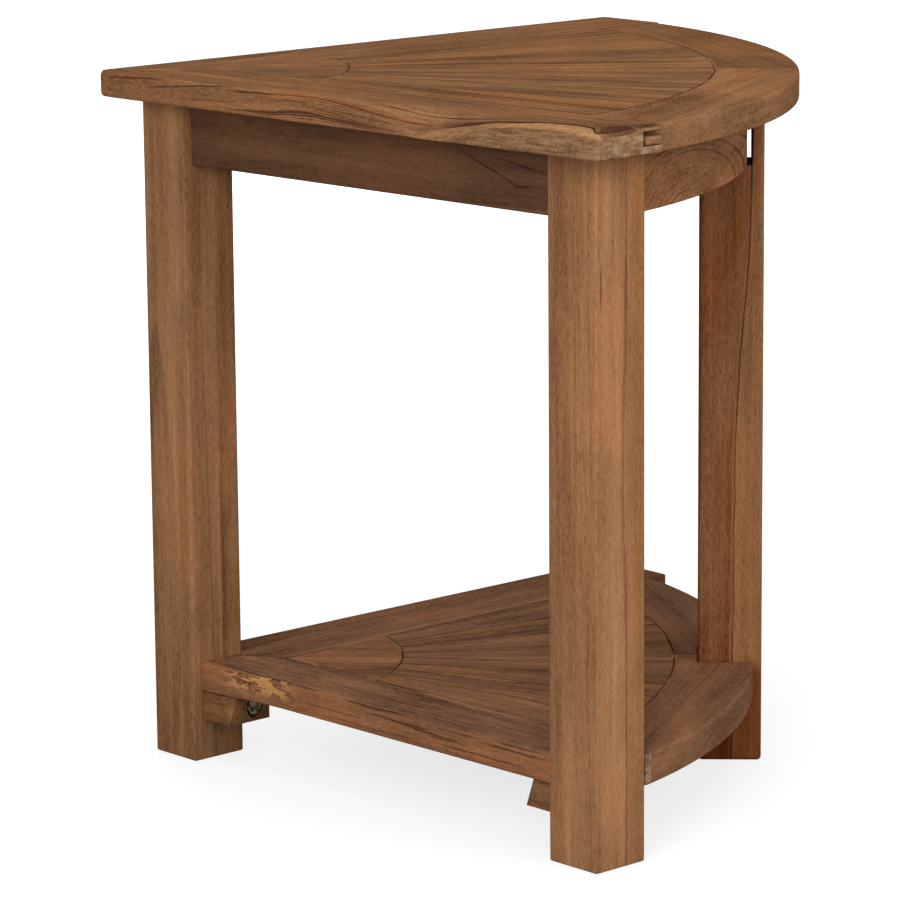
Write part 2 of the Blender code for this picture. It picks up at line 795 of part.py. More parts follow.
def bolt_mesh():
    """A hexagon bolt: its head rests on the plane z = 0 and its shank points down."""
    washer_seat = fit_gap + cleat_depth - counterbore_depth
    shank_length = bolt_in_leg + washer_seat + washer_thickness + 2 * fit_gap
    shank = add_cutter(rod_mesh(bolt_radius, -shank_length, bolt_head_thickness / 2), "bolt_shank")
    hexagon = rod_mesh(bolt_head_across_flats / sqrt(3), 0, bolt_head_thickness, hex_sides)
    head = add_cutter(hexagon, "bolt_head")
    shape(shank, head, "UNION")
    mesh = take_mesh(shank)
    bpy.data.objects.remove(head, do_unlink=True)
    return mesh


def screw_mesh(length):
    """A wood screw turned from a profile, with its pan head below, at z = 0, and its tip above."""
    profile = ((0, length), (screw_radius, length - screw_radius),
               (screw_radius, screw_head_thickness), (screw_head_radius, screw_head_thickness),
               (screw_head_radius, screw_head_thickness * screw_head_edge_share),
               (screw_head_radius * screw_head_face_share, 0), (0, 0))
    line = bpy.data.meshes.new("screw_profile")
    line.from_pydata([(reach, 0, rise) for reach, rise in profile],
                     [(index, index + 1) for index in range(len(profile) - 1)], [])
    turned = add_cutter(line, "screw_profile")
    lathe = turned.modifiers.new("turned", "SCREW")
    lathe.steps = round_steps
    lathe.render_steps = round_steps
    lathe.use_merge_vertices = True
    lathe.merge_threshold = weld_distance
    return take_mesh(turned)


def make_bolts(places):
    """A bolt and a washer in each cleat's counterbore."""
    bolt = bolt_mesh()
    washer = washer_mesh()
    washer_reach = 2 * fit_gap + cleat_depth - counterbore_depth
    head_reach = washer_reach + washer_thickness + fit_gap
    for place in places:
        turn = lying(place.out)
        add_part(bolt, f"bolt_{place.word}", zinc_plate,
                 plan(place.bolt + place.out * head_reach, bolt_level), turn)
        add_part(washer, f"washer_{place.word}", zinc_plate,
                 plan(place.bolt + place.out * washer_reach, bolt_level), turn)


def make_shelf_screws(places):
    """Screws up through the cleats into the shelf."""
    low = cleat_low + shelf_screw_recess - fit_gap - screw_head_thickness
    mesh = screw_mesh(shelf_underside + screw_bite - low)
    for place in places:
        add_part(mesh, f"shelf_screw_{place.word}", zinc_plate, plan(place.screw, low))


def top_screw_places(aprons, boards):
    """Where screws go up through the aprons: a name, the plan place, the apron and the top board."""
    spots = []
    for word, side in sides.items():
        start, end, _, inward = straight_apron_plan(side)
        for index, share in enumerate(top_screw_shares):
            point = start + (end - start) * share + inward * (apron_thickness / 2)
            spots.append((f"{word}_{index + 1}", point, aprons[word], boards[f"{word}_rail"]))
        angle = side * half_angle / 2
        point = Vector((cos(angle), sin(angle))) * ((apron_outer_radius + apron_inner_radius) / 2)
        spots.append((f"curved_{word}", point, aprons["curved"], boards[f"{word}_rim"]))
    return spots


def make_top_screws(aprons, boards):
    """Screws in deep recesses of the aprons, up into the top."""
    low = apron_low + top_screw_recess - fit_gap - screw_head_thickness
    mesh = screw_mesh(top_underside + screw_bite - low)
    hole = screw_radius + fit_gap
    for name, point, apron, board in top_screw_places(aprons, boards):
        cut_upright_hole(apron, f"{name}_recess", point, head_recess_radius, apron_low - overrun,
                         apron_low + top_screw_recess)
        cut_upright_hole(apron, f"{name}_hole", point, hole, apron_low, top_underside + overrun)
        cut_upright_hole(board, f"{name}_pilot", point, hole, top_underside - overrun,
                         top_underside + screw_bite + fit_gap)
        add_part(mesh, f"top_screw_{name}", zinc_plate, plan(point, low))


def build_table():
    """The whole table, from the legs up."""
    legs = make_legs()
    shelf = make_fan(shelf_fan, 0, 0)
    top = make_fan(top_fan, nose_radius, corner_radius)
    for word, side in sides.items():
        join_rim_to_rail(top_fan, top, word, side)
    notch_shelf(shelf)
    cut_middle_slot(legs["middle"])
    aprons = {word: make_straight_apron(word, side, legs) for word, side in sides.items()}
    aprons["curved"] = make_curved_apron(legs)
    places = cleat_places()
    for place in places:
        make_cleat(place, legs[place.leg], shelf)
    make_bolts(places)
    make_shelf_screws(places)
    make_top_screws(aprons, top)


build_table()
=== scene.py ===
"""The looks of a quarter-round teak side table: oiled boards with open grain, natural front edges,
a fan of slats in the top and in the shelf, and a camera at the height of a person who stands by it.
"""

from math import cos, pi, radians, sin

import bpy
import numpy as np
from mathutils import Matrix, Vector


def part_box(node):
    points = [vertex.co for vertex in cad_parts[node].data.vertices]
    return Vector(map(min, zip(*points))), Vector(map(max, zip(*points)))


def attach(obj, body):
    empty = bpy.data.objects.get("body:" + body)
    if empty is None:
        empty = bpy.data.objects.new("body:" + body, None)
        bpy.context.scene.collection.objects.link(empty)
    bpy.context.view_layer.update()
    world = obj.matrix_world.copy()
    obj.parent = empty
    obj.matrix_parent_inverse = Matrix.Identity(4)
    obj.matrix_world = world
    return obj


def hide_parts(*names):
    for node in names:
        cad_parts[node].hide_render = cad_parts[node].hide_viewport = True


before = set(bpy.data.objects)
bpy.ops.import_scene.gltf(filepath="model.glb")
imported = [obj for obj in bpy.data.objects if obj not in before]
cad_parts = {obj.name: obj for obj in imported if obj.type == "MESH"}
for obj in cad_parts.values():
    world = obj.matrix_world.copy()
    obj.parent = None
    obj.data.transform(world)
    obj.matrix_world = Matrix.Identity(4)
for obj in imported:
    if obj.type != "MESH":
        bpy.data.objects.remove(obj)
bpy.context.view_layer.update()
mm = 0.001

# Sizes that the boards share, in metres
half_angle = radians(44)
top_radius = 0.547
apex = np.array([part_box("top_front_rim")[1].x - top_radius, 0.0])
top_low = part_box("top_hub")[0].z
top_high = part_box("top_hub")[1].z
shelf_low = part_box("shelf_hub")[0].z
shelf_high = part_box("shelf_hub")[1].z
rail_width = 0.0665
rim_width = 0.0655
shelf_set_back = 0.0335
shelf_edge_inset = 0.0385
leg_side = 0.050
floor_level = 0.0

# Edges: how far the arrises are rounded over, and the thin dark line that a seam shows
seam_arris = 0.5 * mm
seam_line = 0.6 * mm
worn_arris = 1.8 * mm
leg_arris = 2.4 * mm
foot_arris = 1.6 * mm
middle_foot_round = 3.6 * mm
apron_arris = 1.4 * mm
apron_head_arris = 0.8 * mm
tongue_arris = 0.8 * mm

# The top's front corner and nose: how far they are rounded, and how far a face bends to meet another
corner_round = 4.5 * mm
corner_reach = 30.0 * mm
corner_line = 1.8 * mm
nose_round = 5.8 * mm
nose_face = np.array([6.0, 2.5]) * mm
nose_arris = 2.2 * mm
nose_fade = 14.0 * mm
mitre_gap = 0.1 * mm

# Steps along an outline and up a board, the angle from which an edge is sharp, how close places on
# the same line are, and how close places are that are one
outline_step = 4.0 * mm
live_edge_step = 1.6 * mm
arris_steps = 4
face_steps = 8
slope_steps = 10
rise_steps = 12
sharp_from = radians(34)
near = 0.5 * mm
hair = 0.01 * mm

# Groove in the rails' ends, with the loose tongue of the rim
groove_low = top_low + 6.0 * mm
groove_high = top_low + 17.0 * mm
groove_depth = 19.7 * mm
groove_lip = 0.3 * mm
tongue_length = 15.5 * mm
tongue_thickness = 6.2 * mm
tongue_set_back = 1.2 * mm

# Legs: how far they are turned in plan, and the gap between a leg's two boards. The front leg's
# seam shows more.
leg_turn = radians(45)
glue_gap = 0.08 * mm
front_glue_gap = 0.20 * mm

# Dents of the natural edges: the shortest waves along and up, how many waves, their seed and depth
dent_sizes = (((0.050, 0.030), 24, 3, 1.2 * mm), ((0.011, 0.010), 40, 4, 0.6 * mm))

# Marks of the natural edges: where the top's lens begins and where the painted shade of the crease
# behind its crest begins, as shares of the rail, and the middle and reach of the shelf's patch of bark
lens_start = 0.655
crease_shade_start = 0.69
bark_place = 0.138
bark_reach = 0.025

# Camera: its place, its turns and its lens
camera_place = (0.1481, -3.3648, 0.9476)
camera_yaw = radians(2.544)
camera_pitch = radians(11.752)
camera_roll = radians(-0.482)
camera_lens = 173.63
sensor_width = 36

# Studio: the surround's light, the floor, and the lamps. A lamp has its place, its side and its power.
ambient = 0.34
floor_shade = 0.36
floor_reach = 16.0
lamp_target = (0, 0, 0.3)
lamps = {"key": ((-0.7, -3.3, 1.5), 2.4, 82), "fill": ((2.7, -2.0, 1.5), 2.0, 40),
         "top": ((0.2, -0.6, 3.2), 2.2, 14), "back": ((-0.8, 3.3, 1.5), 2.4, 54)}

# Natural edge of the top's front rail. The columns are: place along the rail, share of the thickness
# at which the upright face ends, how far in and how high the crest lies, how far in the flat face
# starts, how round the rise to it is, how deep the crease behind the crest is, how rough the face is.
# How far in and how deep are in millimetres. The V of the edge is at 0.661, and the long lens of
# bare sapwood begins there.
edge_units = (1, 1, mm, 1, mm, 1, mm, 1)
top_wane = edge_units * np.array([
    (0.000, 0.82, 1.2, 0.920, 4.2, 1.9, 0.0, 0.05), (0.022, 0.92, 0.8, 0.965, 2.0, 1.8, 0.0, 0.05),
    (0.300, 0.91, 0.9, 0.960, 2.6, 1.8, 0.0, 0.05), (0.400, 0.91, 1.0, 0.955, 3.4, 1.8, 0.0, 0.06),
    (0.455, 0.91, 1.1, 0.955, 5.5, 1.8, 0.0, 0.06), (0.495, 0.87, 1.1, 0.930, 8.0, 1.8, 0.0, 0.08),
    (0.537, 0.76, 1.5, 0.830, 11.5, 1.8, 0.0, 0.10), (0.576, 0.61, 2.0, 0.700, 15.0, 1.7, 0.0, 0.12),
    (0.605, 0.46, 2.6, 0.590, 17.8, 1.6, 0.0, 0.14), (0.628, 0.31, 3.0, 0.460, 20.3, 1.5, 0.0, 0.15),
    (0.645, 0.15, 2.8, 0.310, 22.3, 1.4, 0.0, 0.18), (0.656, 0.04, 1.8, 0.150, 23.6, 1.3, 0.0, 0.20),
    (0.662, 0.01, 1.2, 0.060, 24.0, 1.25, 0.0, 0.20), (0.673, 0.01, 3.0, 0.180, 24.5, 1.2, 0.3, 0.25),
    (0.693, 0.01, 5.0, 0.300, 25.0, 1.2, 0.6, 0.35), (0.720, 0.06, 8.0, 0.446, 25.0, 1.2, 0.9, 0.55),
    (0.750, 0.22, 12.0, 0.584, 25.0, 1.2, 1.1, 0.85), (0.768, 0.44, 14.0, 0.670, 25.0, 1.2, 1.1, 1.00),
    (0.786, 0.60, 16.0, 0.748, 25.2, 1.2, 1.1, 1.00), (0.825, 0.75, 18.0, 0.832, 25.5, 1.2, 1.1, 1.00),
    (0.880, 0.85, 21.0, 0.941, 26.8, 1.2, 1.0, 1.00), (0.918, 0.86, 23.0, 0.951, 28.0, 1.2, 1.0, 1.00),
    (0.954, 0.85, 20.0, 0.950, 25.0, 1.2, 1.0, 1.00), (0.974, 0.80, 14.0, 0.938, 19.0, 1.2, 0.9, 0.95),
    (0.987, 0.75, 9.0, 0.914, 13.5, 1.2, 0.6, 0.90), (1.000, 0.72, 5.5, 0.880, 9.0, 1.3, 0.3, 0.80),
])

# The worn hollow at the end of that rail, from its outer corner to the groove
end_wane = edge_units * np.array([
    (0.000, 0.72, 5.5, 0.880, 9.0, 1.3, 0.3, 0.80), (0.120, 0.76, 6.0, 0.880, 13.0, 1.2, 0.6, 0.40),
    (0.280, 0.76, 6.5, 0.860, 16.5, 1.1, 0.8, 0.22), (0.450, 0.78, 5.8, 0.875, 16.5, 1.1, 0.7, 0.20),
    (0.580, 0.82, 4.5, 0.900, 15.0, 1.1, 0.6, 0.20), (0.660, 0.87, 3.0, 0.925, 12.5, 1.2, 0.4, 0.20),
    (0.740, 0.91, 1.2, 0.950, 9.5, 1.2, 0.3, 0.20), (1.000, 0.93, 0.8, 0.965, 6.0, 1.3, 0.1, 0.15),
])

# How the grain flows along the natural edge. Each line is a run of places: how far along the rail,
# and how far below the rail's upper arris as it is seen from the front and a little above.
crest_line = mm * np.array([
    (0, 1.0), (120, 2.0), (163, 3.4), (207, 1.6), (226, 0.8), (249, 0.5), (271, 1.3), (285, 2.8),
    (294, 3.6), (315, 5.9), (336, 8.2), (352, 9.4), (368, 9.4), (379, 9.2), (394, 7.4), (410, 4.4),
    (430, 0.8), (451, -1.3), (481, -4.0), (502, -4.8), (522, -4.0), (533, -2.7), (540, -1.2), (547, 0.0),
])
sapwood_line = mm * np.array([
    (0, 16.5), (165, 17.0), (204, 15.7), (226, 13.0), (249, 11.9), (271, 13.8), (294, 14.5), (315, 16.0),
    (336, 17.1), (352, 18.0), (359, 18.9), (361, 19.2), (368, 15.8), (379, 13.0), (394, 9.5), (410, 5.9),
    (430, 1.8), (451, -0.3), (481, -3.1), (502, -3.7), (522, -3.1), (533, -1.6), (540, -0.1), (547, 1.5),
])
bare_line = mm * np.array([
    (0, 20.0), (389, 20.0), (402, 17.2), (418, 12.5), (434, 8.2), (448, 5.5), (461, 4.4), (486, 2.8),
    (502, 2.7), (517, 2.8), (533, 4.0), (547, 6.0),
])
flow_lines = (crest_line, sapwood_line, bare_line)

# The same lines on a straight edge: how far below its upper arris each of them would lie
flow_depths = (0.0, 0.0115, 0.0150)

# How far below the arris a place is seen to lie, for each metre down and each metre in
seen_below = 0.979
seen_inset = 0.2036

# Dark lines that follow the flow: start and end along the rail, depth on a straight edge at the
# start and at the end, width and strength
edge_lines = (
    (0.150, 0.385, 0.0, 0.0, 0.0007, 0.95), (0.215, 0.350, -0.0012, -0.0012, 0.0004, 0.50),
    (0.300, 0.440, -0.0110, -0.0110, 0.0010, 0.70), (0.325, 0.420, -0.0062, -0.0062, 0.0006, 0.45),
    (0.330, 0.400, -0.0150, -0.0150, 0.0006, 0.35), (0.150, 0.358, 0.0115, 0.0115, 0.0007, 1.25),
    (0.175, 0.330, 0.0126, 0.0126, 0.0005, 0.95), (0.215, 0.345, 0.0137, 0.0137, 0.0004, 0.60),
    (0.160, 0.260, 0.0106, 0.0106, 0.0004, 0.70), (0.230, 0.340, 0.0022, 0.0022, 0.0004, 0.45),
    (0.190, 0.310, 0.0042, 0.0042, 0.0004, 0.45), (0.255, 0.350, 0.0062, 0.0062, 0.0004, 0.50),
    (0.215, 0.330, 0.0080, 0.0080, 0.0004, 0.45), (0.240, 0.350, 0.0097, 0.0097, 0.0004, 0.50),
    (0.392, 0.546, 0.0150, 0.0150, 0.0006, 0.85), (0.440, 0.500, 0.0162, 0.0162, 0.0004, 0.50),
    (0.400, 0.455, 0.0186, 0.0166, 0.0005, 0.80), (0.500, 0.538, 0.0166, 0.0180, 0.0005, 0.80),
    (0.380, 0.470, 0.0128, 0.0136, 0.0004, 0.50), (0.372, 0.430, 0.0140, 0.0140, 0.0004, 0.45),
    (0.004, 0.090, 0.0030, -0.0012, 0.0006, 1.00), (0.055, 0.165, 0.0056, -0.0028, 0.0006, 0.85),
    (0.010, 0.060, 0.0048, 0.0036, 0.0004, 0.50), (0.090, 0.170, 0.0092, 0.0070, 0.0004, 0.50),
    (0.385, 0.545, 0.0055, 0.0055, 0.0080, 0.75))

# Dark dashes along the shelf's front edge, in the same terms
shelf_lines = (
    (0.085, 0.215, 0.0004, 0.0004, 0.0010, 1.10), (0.225, 0.310, 0.0010, 0.0010, 0.0012, 1.30),
    (0.235, 0.300, 0.0028, 0.0030, 0.0008, 0.90), (0.250, 0.345, 0.0072, 0.0080, 0.0010, 0.90),
    (0.300, 0.375, 0.0100, 0.0104, 0.0011, 1.00), (0.270, 0.340, 0.0088, 0.0090, 0.0008, 0.80),
    (0.315, 0.380, 0.0122, 0.0118, 0.0009, 0.80), (0.180, 0.270, 0.0135, 0.0128, 0.0008, 0.60),
    (0.330, 0.440, 0.0160, 0.0168, 0.0009, 0.80), (0.380, 0.462, 0.0060, 0.0066, 0.0010, 0.90),
    (0.395, 0.460, 0.0022, 0.0022, 0.0010, 1.00), (0.330, 0.400, 0.0040, 0.0044, 0.0008, 0.60),
    (0.200, 0.330, 0.0185, 0.0182, 0.0008, 0.50), (0.080, 0.130, 0.0070, 0.0076, 0.0008, 0.70))


def plain_fall(rows):
    """A natural edge with one simple curve, in the columns of the full table.

    Each row is: place, how far in the flat face starts, share of the thickness left at the edge, how
    round the fall is, and how rough. The crest lies a quarter of the way in.
    """
    place, reach, left, power, rough = np.array(rows).T
    crest = left + (1 - left) * 0.55
    return np.stack([place, left, reach / 4, crest, reach, power, 0 * place, rough], 1)


# Natural edge of the shelf's front rail
shelf_wane = plain_fall([
    (0.00, 0.0045, 0.80, 1.8, 0.20), (0.15, 0.0050, 0.78, 1.8, 0.25), (0.25, 0.0060, 0.80, 1.8, 0.35),
    (0.31, 0.0035, 0.91, 1.8, 0.20), (0.40, 0.0022, 0.95, 1.8, 0.15), (0.46, 0.0050, 0.86, 1.7, 0.20),
    (0.52, 0.0100, 0.82, 1.5, 0.30), (0.57, 0.0045, 0.92, 1.7, 0.15), (0.66, 0.0026, 0.95, 1.8, 0.15),
    (0.76, 0.0080, 0.88, 1.6, 0.25), (0.82, 0.0090, 0.86, 1.6, 0.25), (0.90, 0.0040, 0.93, 1.8, 0.20),
    (1.00, 0.0035, 0.93, 1.8, 0.20),
])

# Straight edges that were planed and only worn a little
plain_wane = plain_fall([(0.00, 0.0018, 0.93, 1.7, 0.05), (1.00, 0.0018, 0.93, 1.7, 0.05)])
back_wane = plain_fall([(0.00, 0.0040, 0.81, 1.9, 0.05), (0.022, 0.0020, 0.92, 1.8, 0.05),
                        (1.00, 0.0018, 0.93, 1.7, 0.05)])


def linear(red, green, blue):
    """A colour given as 0 to 255 display values, in linear light."""
    share = np.array([red, green, blue]) / 255
    light = np.where(share <= 0.04045, share / 12.92, ((share + 0.055) / 1.055) ** 2.4)
    return (*light.tolist(), 1.0)


# Colours: the light and the dark of each wood and plate, and of what lies on the wood
teak_light = linear(172, 124, 84)
teak_dark = linear(88, 56, 36)
shelf_light = linear(158, 115, 82)
shelf_dark = linear(80, 52, 36)
# The straight aprons are darker than the teak: partly darker boards, partly painted shade under the top's
# overhang
shaded_apron_light = linear(120, 86, 62)
shaded_apron_dark = linear(62, 40, 29)
end_light = linear(196, 162, 128)
end_dark = linear(116, 86, 64)
bark_light = linear(170, 132, 96)
bark_dark = linear(96, 70, 50)
sapwood_light = linear(210, 166, 116)
sapwood_dark = linear(160, 116, 76)
# The pale seam colour is partly pale glue and partly a painted highlight at the seam
pale_glue_and_highlight = linear(176, 134, 94)
seam_dark = linear(58, 36, 24)
flake_gold = linear(208, 148, 86)
flake_shadow = linear(48, 28, 18)
# Yellow zinc kept dark: partly the plate's colour, partly painted shade of the holes the fixings sit in
shaded_zinc_light = linear(118, 106, 74)
shaded_zinc_dark = linear(44, 38, 28)

# Tints, which are multiplied with a colour: red blotches, grey bands, the stain beside a crack, rust
# under the crest, dusk at the seam, the shelf's edge, and a foot that is darker and redder at the floor
red_tint = (1.08, 0.92, 0.82, 1)
grey_tint = (0.94, 0.98, 1.10, 1)
stain_tint = (1.02, 0.80, 0.66, 1)
rust_tint = (1.08, 0.76, 0.64, 1)
dusk_tint = (0.86, 0.92, 1.00, 1)
edge_tint = (1.10, 0.84, 0.66, 1)
dark_foot_tint = (0.66, 0.48, 0.33, 1)

# How strong each mark of the wood is, and how wide its rings are
plain_figure = {"ring_width": 4.2 * mm, "ring_depth": 0.45, "streak_depth": 1.0, "blotch_depth": 0.6,
                "fleck_depth": 1.2, "band_depth": 0.95, "wander": 1.0}
rim_figure = {"ring_depth": 0.25, "streak_depth": 0.55, "blotch_depth": 0.8, "fleck_depth": 1.0,
              "band_depth": 0.5}
shelf_rim_figure = {"ring_depth": 0.28, "streak_depth": 0.6, "blotch_depth": 0.9, "fleck_depth": 0.9,
                    "band_depth": 0.40}
leg_figure = {"ring_width": 6.4 * mm, "ring_depth": 0.22, "streak_depth": 0.6, "fleck_depth": 0.9,
              "blotch_depth": 0.55, "band_depth": 1.1}
apron_figure = {"ring_depth": 0.30, "streak_depth": 0.6, "fleck_depth": 0.7, "blotch_depth": 0.8}
curved_apron_figure = {"ring_width": 4.0 * mm, "ring_depth": 0.70, "streak_depth": 0.6, "wander": 0.25}
teak_roughness = 0.56

# The slats, from the front to the back: how light each is, and where its pith lies
top_slat_tones = (1.04, 0.96, 1.10, 0.92, 1.05, 0.98, 1.08, 0.94)
shelf_slat_tones = (0.95, 1.05, 0.90, 1.0, 0.93, 1.04, 0.92, 1.0)
slat_piths = ((0.09, 0.14), (-0.06, 0.18), (0.03, 0.09), (-0.12, 0.10), (0.07, 0.20), (-0.02, 0.08),
              (0.13, 0.09), (-0.08, 0.16))


def unit(run):
    """A direction of length one."""
    run = np.asarray(run, float)
    return run / np.linalg.norm(run)


def rail_run(side):
    """Along a straight edge, away from the apex: side -1 is the front and 1 the back."""
    return np.array([cos(half_angle), side * sin(half_angle)])


def rail_in(side):
    """Square to a straight edge, into the table."""
    return np.array([sin(half_angle), -side * cos(half_angle)])


def face_outline(node, axis=2):
    """The outline of a board's flat face at its low end along an axis: the longest loop round it.

    Corners closer than a hundredth of a millimetre are one corner. The loop's edges are those that
    only one triangle of the face has, and it runs anticlockwise as seen from the axis's high end.
    """
    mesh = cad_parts[node].data
    mesh.calc_loop_triangles()
    places = np.empty(len(mesh.vertices) * 3)
    mesh.vertices.foreach_get("co", places)
    corners = np.empty(len(mesh.loop_triangles) * 3, int)
    mesh.loop_triangles.foreach_get("vertices", corners)
    places, merged = np.unique(places.reshape(-1, 3).round(5), axis=0, return_inverse=True)
    faces = merged.reshape(-1)[corners].reshape(-1, 3)
    faces = faces[(places[faces, axis] <= places[:, axis].min() + hair).all(1)]
    edges = {(a, b) for face in faces.tolist() for a, b in zip(face, face[1:] + face[:1])}
    after = {b: a for a, b in edges if (b, a) not in edges}
    loops = []
    while after:
        start, point = after.popitem()
        loop = [start]
        while point != start:
            loop.append(point)
            point = after.pop(point)
        loops.append(places[loop][:, [(axis + 1) % 3, (axis + 2) % 3]])
    return max(loops, key=lambda loop: np.linalg.norm(loop - np.roll(loop, 1, 0), axis=1).sum())


def walk(outline, step):
    """An outline with more points, evenly spaced on each edge and no further apart than the step."""
    run = np.roll(outline, -1, 0) - outline
    pieces = np.maximum(np.ceil(np.linalg.norm(run, axis=1) / step), 1).astype(int)
    edge = np.repeat(np.arange(len(outline)), pieces)
    first = np.repeat(np.cumsum(pieces) - pieces, pieces)
    share = (np.arange(len(edge)) - first) / pieces[edge]
    return outline[edge] + run[edge] * share[:, None]


def near_corners(outline, margin):
    """An outline with two more points on each long edge, a margin away from its ends."""
    run = np.roll(outline, -1, 0) - outline
    length = np.linalg.norm(run, axis=1)
    share = margin / length
    places = np.stack([outline, outline + run * share[:, None], outline + run * (1 - share)[:, None]], 1)
    keep = np.stack([length > 0, length > 2.5 * margin, length > 2.5 * margin], 1)
    return places[keep]


def divided(outline, marks, margin):
    """An outline with points near its corners, and its edges' marks carried over to the new edges."""
    length = np.linalg.norm(np.roll(outline, -1, 0) - outline, axis=1)
    return near_corners(outline, margin), np.repeat(marks, np.where(length > 2.5 * margin, 3, 1))


def inwards(outline):
    """At each point of an outline, the step that moves both of its edges inwards by one metre."""
    run = np.roll(outline, -1, 0) - outline
    run /= np.linalg.norm(run, axis=1)[:, None]
    after = np.stack([-run[:, 1], run[:, 0]], 1)
    before = np.roll(after, 1, 0)
    return (before + after) / (1 + (before * after).sum(1))[:, None]


def rounded(points, radius):
    """An outline with each corner replaced by a curve that starts and ends a radius from it.

    A corner whose radius is 0 stays one point.
    """
    radius = np.broadcast_to(radius, len(points))[:, None]
    to_last = np.roll(points, 1, 0) - points
    to_next = np.roll(points, -1, 0) - points
    start = points + to_last / np.linalg.norm(to_last, axis=1)[:, None] * radius
    end = points + to_next / np.linalg.norm(to_next, axis=1)[:, None] * radius
    share = np.linspace(0, 1, arris_steps + 1)[None, :, None]
    curve = start[:, None] * (1 - share) ** 2 + end[:, None] * share ** 2
    curve = curve + points[:, None] * 2 * share * (1 - share)
    return curve[(np.arange(arris_steps + 1)[None, :] == 0) | (radius > 0)]


def ripples(places, reach, waves, seed):
    """Smooth noise between about -1 and 1: a sum of sine waves of random direction and phase.

    The reach gives the shortest wave along each axis, and longer waves count for more.
    """
    random = np.random.default_rng(seed)
    turns = random.normal(size=(waves, places.shape[-1])) * 2 * pi / np.asarray(reach)
    size = 1 / (0.4 + np.linalg.norm(turns * np.asarray(reach) / (2 * pi), axis=1))
    phase = random.uniform(0, 2 * pi, waves)
    return (np.sin(places @ turns.T + phase) * size).sum(-1) / np.sqrt((size ** 2).sum() * 2)


def table_value(table, places, column):
    """A column of a table at any places: a smooth curve through the rows that doesn't overshoot.

    Between two rows it is a cubic. Its slope at a row is the harmonic mean of the slopes on both
    sides, or 0 where the column turns.
    """
    at, value = table[:, 0], table[:, column]
    rise = np.diff(value) / np.diff(at)
    both = rise[1:] * rise[:-1]
    inner = np.where(both > 0, 2 * both / np.where(both > 0, rise[1:] + rise[:-1], 1), 0)
    slope = np.concatenate([rise[:1], inner, rise[-1:]])
    row = np.clip(np.searchsorted(at, places, side="right") - 1, 0, len(at) - 2)
    span = at[row + 1] - at[row]
    share = np.clip((places - at[row]) / span, 0, 1)
    rest = 1 - share
    return (value[row] * (1 + 2 * share) * rest ** 2 + value[row + 1] * (3 - 2 * share) * share ** 2
            + span * share * rest * (slope[row] * rest - slope[row + 1] * share))


class Cut:
    """How a board was cut from the log: its grain's direction, its face, and where the pith lies."""

    def __init__(self, origin, along, up, pith, tone=(1, 1, 1)):
        self.origin = np.append(origin, 0.0) if len(origin) == 2 else np.asarray(origin, float)
        self.along = unit(np.append(along, 0.0) if len(along) == 2 else along)
        self.up = unit(up)
        self.pith = pith
        self.tone = tone

    def grain(self, places):
        """Places as lengths along the grain, across it, and through the board, from the pith."""
        from_origin = places - self.origin
        across = np.cross(self.up, self.along)
        return from_origin @ np.stack([self.along, across, self.up], 1) + np.asarray(self.pith)


def skin(name, rings, cut, worn=None, flow=None, grain=None, seam=None):
    """A closed surface over rings of points that run anticlockwise, from the lowest to the highest.

    Each pair of rings is joined by quads and the two end rings are closed with flat faces. Every
    point keeps its place in the log's grain, the board's tone, how natural the surface is and
    whether it lies at a seam, which on a tongue's top stands for painted shade. A natural edge also
    keeps how its grain flows: the depth of its flow line, a share of pale sapwood, partly a painted
    highlight, and a share of painted shade in its crease and hollow.
    """
    rows, count, _ = rings.shape
    places = rings.reshape(-1, 3)
    low = (np.arange(rows - 1)[:, None] * count + np.arange(count)[None, :]).ravel()
    after = (np.arange(count) + 1) % count
    low_next = (np.arange(rows - 1)[:, None] * count + after[None, :]).ravel()
    quads = np.stack([low, low_next, low_next + count, low + count], 1).tolist()
    foot = list(range(count - 1, -1, -1))
    head = list(range((rows - 1) * count, rows * count))
    mesh = bpy.data.meshes.new(name)
    mesh.from_pydata(places.tolist(), [], quads + [foot, head])
    mesh.shade_smooth()
    mesh.set_sharp_from_angle(angle=sharp_from)
    points = len(places)
    vectors = {"grain": cut.grain(places if grain is None else grain.reshape(-1, 3)),
               "flow": np.zeros((points, 3)) if flow is None else flow,
               "along": np.tile(cut.along, (points, 1)), "tone": np.tile(cut.tone, (points, 1))}
    numbers = {"worn": np.zeros(points) if worn is None else worn,
               "seam": np.zeros(points) if seam is None else seam}
    for values, kind, field in ((vectors, "FLOAT_VECTOR", "vector"), (numbers, "FLOAT", "value")):
        for key, value in values.items():
            mesh.attributes.new(key, kind, "POINT").data.foreach_set(field, np.ravel(value))
    return mesh


def add_piece(mesh, nodes, finish):
    """A finished piece in the scene: it stands for CAD nodes, rides on the table and has a finish."""
    piece = bpy.data.objects.new(mesh.name, mesh)
    bpy.context.scene.collection.objects.link(piece)
    mesh.materials.append(finish.material)
    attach(piece, "root")
    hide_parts(*nodes)


def moved_in(outline, insets):
    """Rings of an outline whose edges are moved inwards, each by its own distance in each ring.

    A corner lands where its two moved edges cross. Where they are nearly in line it takes the mean.
    """
    run = np.roll(outline, -1, 0) - outline
    run = run / np.linalg.norm(run, axis=1)[:, None]
    after = np.stack([-run[:, 1], run[:, 0]], 1)
    before = np.roll(after, 1, 0)
    turn = (before * after).sum(1)
    straight = turn > 0.97
    bend = np.where(straight, 1, 1 - turn ** 2)
    inset_before = np.roll(insets, 1, 1)
    to_before = np.where(straight, inset_before / (1 + turn), (inset_before - turn * insets) / bend)
    to_after = np.where(straight, insets / (1 + turn), (insets - turn * inset_before) / bend)
    return outline + before * to_before[:, :, None] + after * to_after[:, :, None]


